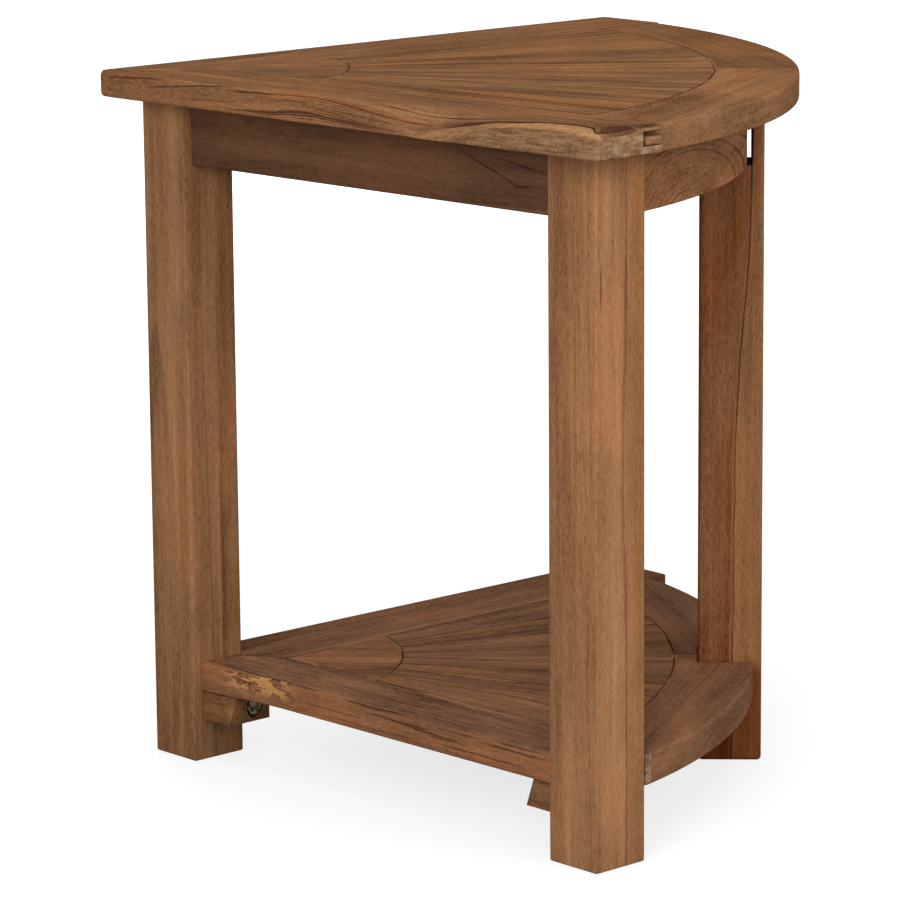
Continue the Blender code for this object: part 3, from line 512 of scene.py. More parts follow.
def board_rings(outline, low, high, outside, low_arris=worn_arris, high_arris=worn_arris, border=0.0):
    """Rings of a straight-sided board, with a quarter round at its foot and at its head.

    Edges on the outside have the given rounding, and the others only that of a seam. With a border,
    each flat face has one more ring that lies so far inside its edge.
    """
    turn = np.linspace(0, pi / 2, arris_steps + 1)[:, None]
    insets, levels = [], []
    for radius, level, side in ((low_arris, low, 1), (high_arris, high, -1)):
        edge = np.where(outside, radius, seam_arris)
        point = np.maximum(edge, np.roll(edge, 1))
        insets.append(edge * (1 - np.sin(turn)))
        levels.append(level + side * point * (1 - np.cos(turn)))
    insets = np.concatenate([insets[0], insets[1][::-1]])
    levels = np.concatenate([levels[0], levels[1][::-1]])
    if border:
        insets = np.concatenate([insets[:1] + border, insets, insets[-1:] + border])
        levels = np.concatenate([levels[:1], levels, levels[-1:]])
    return np.concatenate([moved_in(outline, insets), levels[:, :, None]], 2)


def outer_edges(outline, edge_distance, reach):
    """Which edges of an outline lie on the outside of the top or of the shelf."""
    middle = (outline + np.roll(outline, -1, 0)) / 2 - apex
    nearest = np.minimum(middle @ rail_in(-1), middle @ rail_in(1))
    margin = 0.2 * mm
    return (nearest < edge_distance + margin) | (np.linalg.norm(middle, axis=1) > reach - margin)


class Value:
    """A number that varies over a surface. Arithmetic on it adds Math nodes to its finish."""

    def __init__(self, finish, socket):
        self.finish = finish
        self.socket = socket

    def __add__(self, other):
        return self.finish.maths("ADD", self, other)

    def __radd__(self, other):
        return self.finish.maths("ADD", other, self)

    def __sub__(self, other):
        return self.finish.maths("SUBTRACT", self, other)

    def __rsub__(self, other):
        return self.finish.maths("SUBTRACT", other, self)

    def __mul__(self, other):
        return self.finish.maths("MULTIPLY", self, other)

    def __rmul__(self, other):
        return self.finish.maths("MULTIPLY", other, self)

    def __truediv__(self, other):
        return self.finish.maths("DIVIDE", self, other)

    def __pow__(self, other):
        return self.finish.maths("POWER", self, other)


class Finish:
    """A material or the surround: its nodes are made by one method and its numbers are Values."""

    def __init__(self, owner, shader="Principled BSDF"):
        owner.use_nodes = True
        self.material = owner
        self.tree = owner.node_tree
        self.shader = self.tree.nodes[shader]

    def node(self, kind, settings=None, inputs=None):
        """A node of a type, with its settings set first and then its sockets fed."""
        made = self.tree.nodes.new(kind)
        for key, value in (settings or {}).items():
            setattr(made, key, value)
        for key, value in (inputs or {}).items():
            self.feed(made.inputs[key], value)
        return made

    def feed(self, socket, value):
        """Link a value to a socket, or set the socket to a number or a colour."""
        if isinstance(value, Value):
            value = value.socket
        if isinstance(value, bpy.types.NodeSocket):
            self.tree.links.new(value, socket)
        else:
            socket.default_value = value

    def maths(self, operation, *terms):
        """A Math node over numbers and Values."""
        made = self.node("ShaderNodeMath", {"operation": operation}, dict(enumerate(terms)))
        return Value(self, made.outputs[0])

    def exponential(self, power):
        """e to a power."""
        return self.maths("EXPONENT", power)

    def attribute(self, name):
        """The vector that the mesh keeps under a name."""
        return self.node("ShaderNodeAttribute", {"attribute_name": name}).outputs["Vector"]

    def number(self, name):
        """The number that the mesh keeps under a name."""
        return Value(self, self.node("ShaderNodeAttribute", {"attribute_name": name}).outputs["Fac"])

    def spot(self):
        """The place on the table, as three numbers."""
        return self.parts(self.node("ShaderNodeTexCoord").outputs["Object"])

    def parts(self, vector):
        """The three numbers of a vector."""
        split = self.node("ShaderNodeSeparateXYZ", inputs={0: vector})
        return [Value(self, socket) for socket in split.outputs]

    def vector(self, x, y, z):
        """A vector of three numbers."""
        return self.node("ShaderNodeCombineXYZ", inputs={0: x, 1: y, 2: z}).outputs[0]

    def noise(self, x, y, z, detail=2.0, roughness=0.5, distortion=0.0):
        """Noise from 0 to 1 at a place."""
        made = self.node("ShaderNodeTexNoise", inputs={
            "Vector": self.vector(x, y, z), "Scale": 1.0, "Detail": detail,
            "Roughness": roughness, "Distortion": distortion})
        return Value(self, made.outputs[0])

    def step(self, value, low, high):
        """0 below low, 1 above high, and smooth between them."""
        made = self.node("ShaderNodeMapRange", {"interpolation_type": "SMOOTHSTEP"}, {
            "Value": value, "From Min": low, "From Max": high})
        return Value(self, made.outputs[0])

    def mix(self, share, first, second):
        """A colour between two colours."""
        made = self.node("ShaderNodeMix", {"data_type": "RGBA"}, {0: share, 6: first, 7: second})
        return made.outputs[2]

    def tint(self, first, second):
        """One colour times another."""
        made = self.node("ShaderNodeMix", {"data_type": "RGBA", "blend_type": "MULTIPLY"},
                         {0: 1.0, 6: first, 7: second})
        return made.outputs[2]

    def tinted(self, share, colour, tint):
        """A colour with a share of a tint."""
        return self.mix(share, colour, self.tint(colour, tint))

    def plain(self, **sockets):
        """Sets sockets of the shader to numbers."""
        for name, value in sockets.items():
            self.shader.inputs[name.replace("_", " ")].default_value = value

    def bump(self, height, strength, depth, normal=None):
        """A bumpy normal from a height."""
        inputs = {"Height": height, "Strength": strength, "Distance": depth}
        if normal is not None:
            inputs["Normal"] = normal
        return self.node("ShaderNodeBump", inputs=inputs).outputs[0]


class Knot:
    """A knot in a board's grain: where it lies, its size, how dark it is and how many rings it has."""

    def __init__(self, along, across, length, width, depth=1.0, rings=2.4):
        self.along = along
        self.across = across
        self.length = length
        self.width = width
        self.depth = depth
        self.rings = rings


class Crack:
    """A crack or a dark streak that runs from point to point, each a place along and across the grain.

    It lies across the board or, with through, in the board's thickness. A stain darkens and reddens
    the side on which the place grows.
    """

    def __init__(self, points, width, wander=0.004, depth=0.8, through=False, stain=0.0):
        self.points = points
        self.width = width
        self.wander = wander
        self.depth = depth
        self.through = through
        self.stain = stain

    def line(self, finish, along):
        """Where it lies at each place along the grain: straight from one point to the next."""
        place = self.points[0][1]
        for (start, first), (end, last) in zip(self.points, self.points[1:]):
            travel = finish.maths("MINIMUM", finish.maths("MAXIMUM", along - start, 0.0), end - start)
            place = travel * ((last - first) / (end - start)) + place
        return place


class Teak(Finish):
    """Oiled teak: growth rings round the pith, fibres, pores and slow changes of colour.

    The rings are cylinders round the grain's axis that wander a little, so a face cut along them
    shows arches and an end shows arcs. Each ring ends in a thin dark line of its own strength.
    Fibres, flecks and pores are noise stretched along the grain, each finer than the last. The shade
    runs from 0, the dark colour, to 1, the light one, and the height is the relief of the grain.
    """

    def __init__(self, name, light, dark, place=None, knots=(), cracks=(), lines=(), bark=False,
                 dark_foot=0.0, **figure):
        super().__init__(bpy.data.materials.new(name))
        self.figure = {**plain_figure, **figure}
        grain = self.attribute("grain") if place is None else place(self)
        self.along, self.across, self.through = self.parts(grain)
        self.spread_noise()
        late, core = self.grow_rings(knots)
        self.mix_shade(late, core)
        stain = self.open_cracks(cracks)
        if lines:
            self.depth, self.sapwood, crease = self.parts(self.attribute("flow"))
            self.draw_lines(lines)
            # The sapwood is paler, and on the lens's slope that paleness is partly a painted highlight
            if not bark:
                self.shade = self.shade + self.sapwood * 0.22
            # Painted shade in the crease behind the crest, in the end's hollow and on the lip over the
            # groove, and a darker line round the outer corner
            self.shade = self.shade - crease * (0.68 - self.fibre * 0.3)
        self.shade = self.maths("MAXIMUM", self.maths("MINIMUM", self.shade, 1.15), 0.0)
        self.colour_wood(light, dark, stain)
        if bark:
            self.colour_bark()
        elif lines:
            self.colour_flow()
        if dark_foot:
            self.darken_foot(dark_foot)
        normal = self.bump(self.height, 0.45, 0.4 * mm)
        if place is None:
            self.dress_board()
            normal = self.roughen(normal)
        self.feed(self.shader.inputs["Base Color"], self.colour)
        self.feed(self.shader.inputs["Roughness"],
                  teak_roughness + 0.10 - self.shade * 0.16 + self.pores * 0.08)
        self.plain(Specular_IOR_Level=0.0)
        self.feed(self.shader.inputs["Normal"], normal)

    def grained(self, per_along, per_across, detail, *rest, shift=0.0):
        """Noise stretched along the grain, with so many waves to a metre along it and across it."""
        along = self.along * per_along + shift if shift else self.along * per_along
        return self.noise(along, self.across * per_across, self.through * per_across, detail, *rest)

    def spread_noise(self):
        """The wood's noises, from slow changes down to fibres, flecks and pores."""
        self.slow = self.grained(2.6, 11, 2.0) - 0.5
        self.slower = self.grained(1.4, 5, 1.0, shift=7.3) - 0.5
        self.fibre = self.grained(16, 300, 4.0, 0.62)
        self.band = self.grained(1.8, 46, 2.0)
        self.fleck = self.grained(150, 760, 2.0, 0.65)
        self.blotch = self.grained(8, 19, 3.0, 0.55, 0.4, shift=3.1)
        self.vein = self.grained(3.5, 130, 2.0, shift=4.4)
        self.pores = self.step(self.grained(240, 1300, 1.0), 0.58, 0.70)

    def grow_rings(self, knots):
        """The dark late wood of the growth rings, and the hearts of the knots, which push them aside."""
        wander, ring_width = self.figure["wander"], self.figure["ring_width"]
        sideways = self.across + (self.slow * 0.014 + self.slower * 0.026) * wander
        upwards = self.through + (self.slow * 0.012 - self.slower * 0.016) * wander
        radius = self.maths("SQRT", sideways * sideways + upwards * upwards) + self.along * 0.008
        core = None
        for knot in knots:
            reach = (((self.along - knot.along) / knot.length) ** 2
                     + ((self.across - knot.across) / knot.width) ** 2)
            radius = radius + self.exponential(reach * -1.0) * (ring_width * knot.rings)
            heart = self.exponential(reach * -14.0) * knot.depth
            core = heart if core is None else core + heart
        ring = radius / ring_width
        phase = self.maths("FRACT", ring)
        year = self.node("ShaderNodeTexWhiteNoise", {"noise_dimensions": "1D"},
                         {"W": self.maths("FLOOR", ring)})
        strength = Value(self, year.outputs[0]) ** 2.2 * 0.85 + 0.15
        late = self.step(phase, 0.25, 0.95) ** 2.5 * (1 - self.step(phase, 0.95, 1.0)) * strength
        return late * self.step(self.grained(5, 30, 1.0, shift=1.7), 0.30, 0.60), core

    def mix_shade(self, late, core):
        """The shade and the height of the wood before its marks."""
        figure = self.figure
        shade = 0.62 + (self.fibre - 0.5) * figure["streak_depth"] * 0.85
        shade = shade + (self.band - 0.5) * figure["band_depth"]
        shade = shade + (self.fleck - 0.5) * figure["fleck_depth"]
        shade = shade + (self.blotch - 0.5) * figure["blotch_depth"] * 1.5
        shade = shade + (self.vein - 0.5) * figure["streak_depth"] * 0.75
        self.shade = shade - late * figure["ring_depth"] - self.pores * 0.22
        self.height = self.fibre * 0.5 + self.fleck * 0.4 - self.pores * 0.6 - late * 0.25
        if core is not None:
            self.shade = self.shade - core * 0.9

    def open_cracks(self, cracks):
        """Cracks and dark streaks, each with a soft start and end. Returns the stain beside one."""
        stain = None
        for crack in cracks:
            start, end = crack.points[0][0], crack.points[-1][0]
            wander = self.noise(self.along * 22, crack.points[0][1] * 50, 0.0, 2.0) - 0.5
            line = crack.line(self, self.along) + wander * crack.wander
            aside = (self.through if crack.through else self.across) - line
            part = self.step(self.along, start, start + 0.015)
            part = part * (1 - self.step(self.along, end - 0.02, end))
            split = (1 - self.step(self.maths("ABSOLUTE", aside), 0.0, crack.width)) * part * crack.depth
            self.shade = self.shade - split
            self.height = self.height - split * 3
            if crack.stain:
                cloud = self.step(self.blotch + self.slower * 0.5, 0.25, 0.60)
                stain = self.step(aside, 0.0, 0.003) * cloud * crack.stain
                self.shade = self.shade - stain * 0.4
        return stain

    def draw_lines(self, lines):
        """Dark lines that follow the flow of the grain, each with a soft start and end."""
        along, depth = self.along, self.depth + (self.fibre - 0.5) * 0.0005
        wander = self.noise(along * 45, depth * 160, 0.0, 2.0)
        for start, end, first, last, width, strength in lines:
            slant = (last - first) / (end - start)
            middle = along * slant + (first - start * slant) if slant else first
            gap = self.maths("ABSOLUTE", depth - middle + (wander - 0.5) * width * 1.2)
            part = self.step(along, start, start + 0.03) * (1 - self.step(along, end - 0.03, end))
            line = (1 - self.step(gap, width * 0.15, width)) * part * (wander * 0.8 + 0.6) * strength
            self.shade = self.shade - line
            self.height = self.height - line * 2

    def colour_wood(self, light, dark, stain):
        """The colour of the shade, redder in blotches, greyer in slow bands, and stained by a crack."""
        colour = self.node("ShaderNodeMix", {"data_type": "RGBA", "clamp_factor": False},
                           {0: self.shade, 6: dark, 7: light}).outputs[2]
        colour = self.tinted(self.step(self.blotch, 0.46, 0.66) * 0.5, colour, red_tint)
        grey = self.step(self.slower + self.band * 0.4, 0.10, 0.34) * 0.6
        self.colour = self.tinted(grey, colour, grey_tint)
        if stain is not None:
            self.colour = self.tinted(stain, self.colour, stain_tint)

    def colour_flow(self):
        """The top's natural edge: rust under its crest, dusk at its seam and bare sapwood in its lens,
        partly painted highlight.
        """
        rust = self.exponential(((self.depth + 0.001) / 0.0028) ** 2 * -1.0)
        rust = rust * self.step(self.along, 0.17, 0.24) * (1 - self.step(self.along, 0.34, 0.42))
        colour = self.tinted(rust * 0.7, self.colour, rust_tint)
        cloud = self.step(self.band * 0.6 + self.blotch * 0.4, 0.30, 0.62) * 0.6 + 0.4
        dusk = self.step(self.depth, -0.064, -0.046) * self.step(self.along, 0.22, 0.40) * cloud
        colour = self.tinted(dusk, colour, dusk_tint)
        bare = self.mix(self.step(self.fleck * 0.5 + self.fibre * 0.5, 0.36, 0.62),
                        sapwood_dark, sapwood_light)
        self.colour = self.mix(self.sapwood * 0.60, colour, bare)

    def colour_bark(self):
        """The shelf's natural edge: redder, with a patch of golden bark that flakes off.

        The flakes are islands of noise with a dark outline.
        """
        edge = self.step(self.depth, -0.001, 0.003) * (self.step(self.blotch, 0.30, 0.60) * 0.5 + 0.35)
        colour = self.tinted(edge, self.colour, edge_tint)
        x, y, z = self.spot()
        peel = self.noise(x * 80, y * 80, z * 240, 4.0, 0.6, 0.3)
        island = self.step(peel, 0.46, 0.49) * self.sapwood
        rim = self.step(peel, 0.41, 0.455) * (1 - self.step(peel, 0.465, 0.49)) * self.sapwood
        self.colour = self.mix(rim * 0.85, self.mix(island * 0.85, colour, flake_gold), flake_shadow)

    def darken_foot(self, height):
        """A foot that is darker and redder up to a height, with an uneven edge."""
        darker = 1 - self.step(self.along + self.slow * 0.02, height * 0.80, height)
        darker = darker * (self.step(self.blotch, 0.20, 0.55) * 0.35 + 0.6)
        self.colour = self.tinted(darker, self.colour, dark_foot_tint)

    def dress_board(self):
        """What a board's attributes add: tone, glue seams with painted highlight and shade, end grain, a
        weathered edge.
        """
        colour = self.tint(self.colour, self.attribute("tone"))
        # Seam lines, dark or pale by a slow noise; the pale ones are partly a painted highlight. On a
        # tongue's top the seam colour is painted shade from the groove.
        glue = self.grained(9, 12, 1.0)
        colour = self.mix(self.number("seam") * (self.step(glue, 0.25, 0.50) * 0.40 + 0.35), colour,
                          self.mix(self.step(glue, 0.56, 0.64), seam_dark, pale_glue_and_highlight))
        facing = self.node("ShaderNodeTexCoord").outputs["Normal"]
        aim = self.node("ShaderNodeVectorMath", {"operation": "DOT_PRODUCT"},
                        {0: facing, 1: self.attribute("along")})
        end = self.step(self.maths("ABSOLUTE", Value(self, aim.outputs["Value"])), 0.75, 0.95)
        patch = self.noise(self.along * 30, self.across * 110, self.through * 280, 2.0)
        dots = self.step(self.grained(30, 900, 1.0) * 0.35 + patch * 0.65, 0.36, 0.66)
        # No pale end grain where the painted shade of the crease and hollow lies
        crease = self.parts(self.attribute("flow"))[2]
        colour = self.mix(end * (1 - crease) * 0.62, colour, self.mix(dots, end_dark, end_light))
        x, y, z = self.spot()
        flakes = self.noise(x * 480, y * 480, z * 560, 3.0, 0.75)
        streaks = self.noise(self.along * 42, self.across * 90, z * 520, 3.0, 0.6)
        bark = self.mix(self.step(flakes * 0.5 + streaks * 0.6, 0.40, 0.70), bark_dark, bark_light)
        self.colour = self.mix(self.number("worn") * 0.75, colour, bark)

    def roughen(self, fine):
        """Coarse flakes on a natural edge, over the fine relief of the grain."""
        flakes = self.noise(self.along * 150, self.across * 380, self.through * 520, 3.0, 0.75)
        return self.bump(flakes * self.number("worn"), 0.9, 1.4 * mm, fine)


def run_of(outline):
    """The direction of a board's length in plan, away from the apex, and the board's middle."""
    points = walk(outline, outline_step)
    middle = points.mean(0)
    run = np.linalg.svd(points - middle, full_matrices=False)[2][0]
    return run * np.sign(run @ (middle - apex)), middle


def make_board(node, slot, finish, low, high, edge_distance, reach, pith, tone, run=None):
    """A flat board of the top or the shelf, with its outline from the frame."""
    outline = face_outline(node)
    board_run, middle = run_of(outline)
    outline = near_corners(outline, worn_arris + seam_line + outline_step / 20)
    outside = outer_edges(outline, edge_distance, reach)
    rings = board_rings(outline, low, high, outside, border=seam_line)
    seam = np.tile(~(outside | np.roll(outside, 1)), (len(rings), 1)).astype(float)
    seam[[0, -1]] = 0
    cut = Cut(np.append(middle, low), board_run if run is None else run, (0, 0, 1), pith, tone)
    add_piece(skin(f"{node}_board", rings, cut, seam=seam), [node], finish)


def notched(outline, length, width, depth, inner):
    """An outline whose end corner is cut back to a rebate, and which of its points have moved.

    The points keep their order. Those between the rebate's two ends slide along its two walls, in
    proportion to how far they were along the corner's two sides.
    """
    from_apex = outline - apex
    along = from_apex @ rail_run(-1)
    inset = from_apex @ rail_in(-1)
    on_end = (along > length - hair) & (inset > width - depth - hair)
    on_side = (inset > width - 10 * hair) & (along > inner - hair)
    part = on_end | on_side
    travel = np.where(on_end, inset - (width - depth), depth + length - along)
    whole = depth + length - inner
    turn = length - inner
    first = np.clip(travel / turn, 0, 1)
    second = np.clip((travel - turn) / (whole - turn), 0, 1)
    new_along = length - first * turn
    new_inset = width - depth + second * depth
    moved = apex + new_along[:, None] * rail_run(-1) + new_inset[:, None] * rail_in(-1)
    return np.where(part[:, None], moved, outline), part


def with_point(outline, place):
    """An outline with one more point, on the edge that passes nearest to a place."""
    run = np.roll(outline, -1, 0) - outline
    share = ((place - outline) * run).sum(1) / (run ** 2).sum(1)
    foot = outline + run * np.clip(share, 0, 1)[:, None]
    edge = int(np.linalg.norm(foot - place, axis=1).argmin())
    return np.insert(outline, edge + 1, place, 0)


class LiveRail:
    """A straight rail whose upper front edge is a natural one, as rings from its foot to its head.

    Each point of the outline has an upright face, a slope to a crest, and a rise to the flat face
    that starts with a crease. A table gives them along the front, and another along the end. It is
    worked out as a front rail, and the rings, the grain and what the surface keeps come from it.
    """

    def __init__(self, outline, low, high, edge_line, length, edge_table, end_table, groove=False):
        self.low, self.high, self.edge_line = low, high, edge_line
        self.length, self.groove = length, groove
        self.place_points(outline)
        self.read_tables(edge_table, end_table)
        self.stack_rings()
        self.dent()
        self.mark_surface()
        self.lay_out()
        if groove:
            self.close_mitre()
            self.open_groove()
        self.rings = np.concatenate([self.plan, self.levels[:, :, None]], 2)
        self.grain = self.rings.copy()

    def place_points(self, outline):
        """The outline's points, and which of them lie on the natural front and on the sawn end."""
        if self.groove:
            inner = self.length - rim_width
            for along, inset in ((self.length, rail_width - groove_depth), (inner, rail_width),
                                 (inner + groove_depth, rail_width)):
                outline = with_point(outline, apex + rail_run(-1) * along + rail_in(-1) * inset)
        middle = (outline + np.roll(outline, -1, 0)) / 2 - apex
        fine = middle @ rail_in(-1) < self.edge_line + near
        fine |= middle @ rail_run(-1) > self.length - near
        outline, fine = divided(outline, fine, worn_arris * 1.15)
        self.outline = walk(outline, np.where(fine, live_edge_step, outline_step))
        self.along = (self.outline - apex) @ rail_run(-1)
        self.inset = (self.outline - apex) @ rail_in(-1)
        self.front = self.inset < self.edge_line + near
        if self.groove:
            self.tip = int(np.linalg.norm(self.outline - apex, axis=1).argmin())
            self.front |= (self.inset < corner_round) & (self.along > self.length - corner_round)
            on_nose = (self.along < nose_face[0]) & (self.inset < nose_face[1])
            self.front |= on_nose & (np.abs(self.outline[:, 1]) > 4 * mitre_gap)
            self.front[self.tip] = True
        self.end = (self.along > self.length - near) & ~self.front
        self.live = (self.front | self.end).astype(float)

    def read_tables(self, edge_table, end_table):
        """The natural edge's measures at each point. Those on seams get only a small rounding."""
        self.place = np.clip(self.along / self.length, 0, 1)
        self.across = np.clip(self.inset / rail_width, 0, 1)
        foot, crest_in, crest, reach, self.power, dip, rough = (
            np.where(self.end, table_value(end_table, self.across, column),
                     table_value(edge_table, self.place, column)) for column in range(1, 8))
        natural = self.live > 0
        seam_share = seam_arris / (self.high - self.low)
        self.reach = np.where(natural, reach, seam_arris)
        self.crest_in = np.where(natural, crest_in, seam_arris / 2)
        self.foot = np.where(natural, foot, 1 - seam_share)
        self.crest = np.where(natural, crest, 1 - seam_share / 3)
        self.dip, self.rough = dip * self.live, rough * self.live

    def stack_rings(self):
        """How far in and how high each ring lies: the lower arris, the face, the slope and the rise."""
        low, thickness = self.low, self.high - self.low
        arris = seam_arris + (worn_arris - seam_arris) * self.live
        arris = arris + self.groove * self.live * nose_arris * np.clip(1 - self.along / nose_fade, 0, 1)
        arris = np.minimum(arris, 0.4 * thickness * self.foot + 0.3 * mm)
        turn = np.linspace(0, pi / 2, arris_steps + 1)[:-1, None]
        side, slope, rise = (np.linspace(0, 1, count + 1)[1:, None]
                             for count in (face_steps, slope_steps, rise_steps))
        rise = np.append(rise, [[1.0]], 0)
        border = np.append(0 * rise[1:], [[1.0]], 0)
        border = border * (0.2 * mm + (seam_line - 0.2 * mm) * (1 - self.live))
        foot = np.maximum(low + thickness * self.foot, low + arris + 0.2 * mm)
        crest = np.maximum(low + thickness * self.crest, foot + 0.1 * mm)
        self.insets = np.concatenate([
            arris * (1 - np.sin(turn)), 0 * arris[None, :], 0 * arris * side, self.crest_in * slope,
            self.crest_in + (self.reach - self.crest_in) * rise + border])
        self.levels = np.concatenate([
            low + arris * (1 - np.cos(turn)), (low + arris)[None, :],
            low + arris + (foot - low - arris) * side,
            foot + (crest - foot) * (1 - (1 - slope) ** 1.25),
            crest + (self.high - crest) * (1 - (1 - rise) ** self.power)
            - self.dip * np.sin(pi * np.clip(rise / 0.7, 0, 1))])
        counts = (arris_steps + 1 + len(side), len(slope), len(rise))
        self.on_face, self.on_slope, self.on_rise = (
            np.repeat(zone, counts)[:, None] for zone in np.eye(3))
        self.risen = np.append(np.zeros(counts[0] + counts[1]), rise)[:, None]
        self.crest_level = crest

    def dent(self):
        """Dents of two sizes, which move the natural surface inwards."""
        spots = np.stack([np.broadcast_to(self.along + self.inset, self.levels.shape),
                          self.levels * 2.5 + self.insets], 2)
        dents = sum(ripples(spots, *wave) * depth for *wave, depth in dent_sizes)
        up = np.clip((self.levels - self.low) / np.maximum(self.crest_level - self.low, 0.1 * mm), 0, 1)
        gentle = (0.12 + self.rough) * np.sin(pi * np.clip(up, 0.02, 0.98)) ** 0.5
        gentle = gentle * (self.on_face + self.on_slope * 0.2) * self.live
        self.insets = self.insets + (np.abs(dents) * 0.8 + dents * 0.4) * gentle
        swell = np.sin(pi * np.linspace(0, 1, len(self.levels)))[:, None]
        self.levels = self.levels - np.abs(dents) * self.on_slope * self.rough * swell * 0.12

    def mark_surface(self):
        """How worn the surface is, where it lies at a seam, its sapwood and the shade painted in its
        creases.

        The top's natural edge has a lens of bare sapwood, partly a painted highlight on its slope, and
        its end a worn hollow that is painted with shade. The shelf's has a patch of bark.
        """
        self.worn = self.rough * (self.on_face + self.on_slope * 0.30)
        self.seam = np.tile(1 - self.live, (len(self.levels), 1))
        self.seam[-1] = 0
        self.flow = np.zeros((*self.levels.shape, 3))
        up = (self.levels - self.low) / (self.high - self.low)
        across = self.across
        lens = self.groove * np.clip((self.place - lens_start) / 0.02, 0, 1) * self.front
        sawn_end = self.end * np.clip((0.97 - across) / 0.03, 0, 1)
        # Painted shade: in the end's worn hollow, on its slope and on the lip over the groove, and on the
        # rise behind the lens's crest
        hollow = (self.on_rise * np.clip(3.0 - 2.6 * self.risen, 0, 1)
                  + self.on_slope * np.clip((across - 0.10) / 0.12, 0, 1) * 0.6
                  + self.on_face * np.clip((across - 0.64) / 0.05, 0, 1) * 0.5
                  * (self.levels > groove_high - near))
        crease_shade_rows = self.on_rise * np.clip(1.6 - 1.6 * self.risen, 0, 1)
        self.flow[:, :, 2] = (lens * np.clip((self.place - crease_shade_start) / 0.03, 0, 1) * crease_shade_rows
                              + sawn_end * hollow)
        if self.groove:
            # Sapwood on the lens's face and slope; its paleness on the slope is partly a painted
            # highlight
            self.flow[:, :, 1] = (lens * (self.on_face + self.on_slope)
                                  * np.clip((self.place - 0.66) / 0.16, 0.35, 1))
            self.flow[:, :, 1] += sawn_end * (self.on_slope * 0.15
                                              + self.on_face * 0.6 * np.clip(up * 4 - 2, 0, 1))
            # A darker line round the outer corner, kept with the painted shade
            from_corner = np.hypot(self.length - self.along, self.inset) / corner_line
            self.flow[:, :, 2] += (self.live * (self.on_face + self.on_slope * 0.6) * 0.55
                                   * np.exp(-from_corner ** 2))
        else:
            patch = np.clip(1.8 - np.abs(self.along - bark_place) / bark_reach, 0, 1) * self.front
            self.flow[:, :, 1] = patch * np.clip(up * 4 - 0.9, 0, 1) * (1 - self.on_rise)

    def lay_out(self):
        """The rings in plan: each face moves square to itself, and bends to meet the next one."""
        way = np.tile(rail_in(-1), (len(self.outline), 1))
        if self.groove:
            centre = apex + np.array([nose_round / sin(half_angle), 0])
            spoke = self.outline - centre
            size = np.linalg.norm(spoke, axis=1)[:, None]
            at_nose = (self.along < nose_round)[:, None]
            round_nose = centre + spoke * np.minimum(1, nose_round / size)
            self.outline = np.where(at_nose, round_nose, self.outline)
            way = np.where(at_nose & self.front[:, None], -spoke / size, way)
        step = self.insets[:, :, None]
        plan = self.outline + inwards(self.outline) * step
        plan = np.where(self.front[:, None], self.outline + way * step, plan)
        self.plan = np.where(self.end[:, None], self.outline - rail_run(-1) * step, plan)
        face = np.flatnonzero(self.front)
        first, last = face[self.along[face].argmin()], face[self.along[face].argmax()]
        for corner in (last,) if self.groove else (first, last):
            beside = ~self.front & (np.abs(self.along - self.along[corner]) < 0.5 * corner_reach)
            self.bend(corner, self.inset - self.inset[corner], beside, rail_in(-1))
        if self.groove:
            from_end = self.length - self.along
            self.bend(last, from_end, self.front, -rail_run(-1))
            far = int(np.hypot(from_end, self.inset - rail_width).argmin())
            at_seam = (self.inset > rail_width - 2 * near) & ~self.end
            self.bend(far, from_end, at_seam, -rail_run(-1))

    def bend(self, corner, gap, points, way):
        """Moves points with a corner, less and less up to the corner's reach."""
        share = np.clip(1 - gap / corner_reach, 0, 1) * points
        self.plan = self.plan + way * (self.insets[:, corner, None] * share)[:, :, None]

    def close_mitre(self):
        """Keeps the rail on its own side of the mitre at the apex."""
        mitre = (np.abs(self.outline[:, 1]) < 4 * mitre_gap) & ~self.front
        self.plan[:, mitre, 0] = np.maximum(self.plan[:, mitre, 0], self.plan[:, self.tip, None, 0])
        self.plan[:, :, 1] = np.minimum(self.plan[:, :, 1], -mitre_gap)

    def open_groove(self):
        """Cuts the groove for the rim's tongue into the rings at the rail's end."""
        rebate, part = notched(self.outline, self.length, rail_width, groove_depth,
                               self.length - rim_width)
        row = arris_steps + 1
        self.levels[row:row + 2, part] = groove_low
        self.levels[row + 2:row + 4, part] = groove_high
        lip = groove_high + groove_lip * np.linspace(0, 1, len(self.levels) - row - 4)[:, None]
        self.levels[row + 4:, part] = np.maximum(self.levels[row + 4:, part], lip)
        self.plan[row + 1:row + 3, part] = rebate[part]

    def flow_depth(self, lines):
        """The depth at which the flow line through each point would lie on a straight edge.

        On the flat face it is minus the distance from the edge, and on the upright face it is the
        depth below the arris. Between them each measured flow line is drawn to its own constant
        depth, column by column, and the points between two lines keep their order.
        """
        from_apex = self.rings[:, :, :2] - apex
        along, inset = from_apex @ rail_run(-1), from_apex @ rail_in(-1) - self.edge_line
        below = self.high - self.rings[:, :, 2]
        plain = below - inset
        if not lines:
            return plain
        seen = below * seen_below - inset * seen_inset
        depth = plain.copy()
        lowest = np.interp(along[0], (0.385, 0.412), (flow_depths[-1] + 0.3 * mm, self.high - self.low))
        for column in np.flatnonzero(self.front):
            own = np.maximum.accumulate(plain[::-1, column]) + np.arange(len(plain)) * 1e-8
            height = np.maximum.accumulate(seen[::-1, column]) + np.arange(len(plain)) * 1e-8
            marks = [np.interp(np.interp(along[0, column], *line.T), height, own) for line in lines]
            marks = np.maximum.accumulate([own[0], *marks, own[-1]]) + np.arange(len(marks) + 2) * 1e-7
            depth[:, column] = np.interp(plain[:, column], marks, (own[0], *flow_depths, lowest[column]))
        return depth

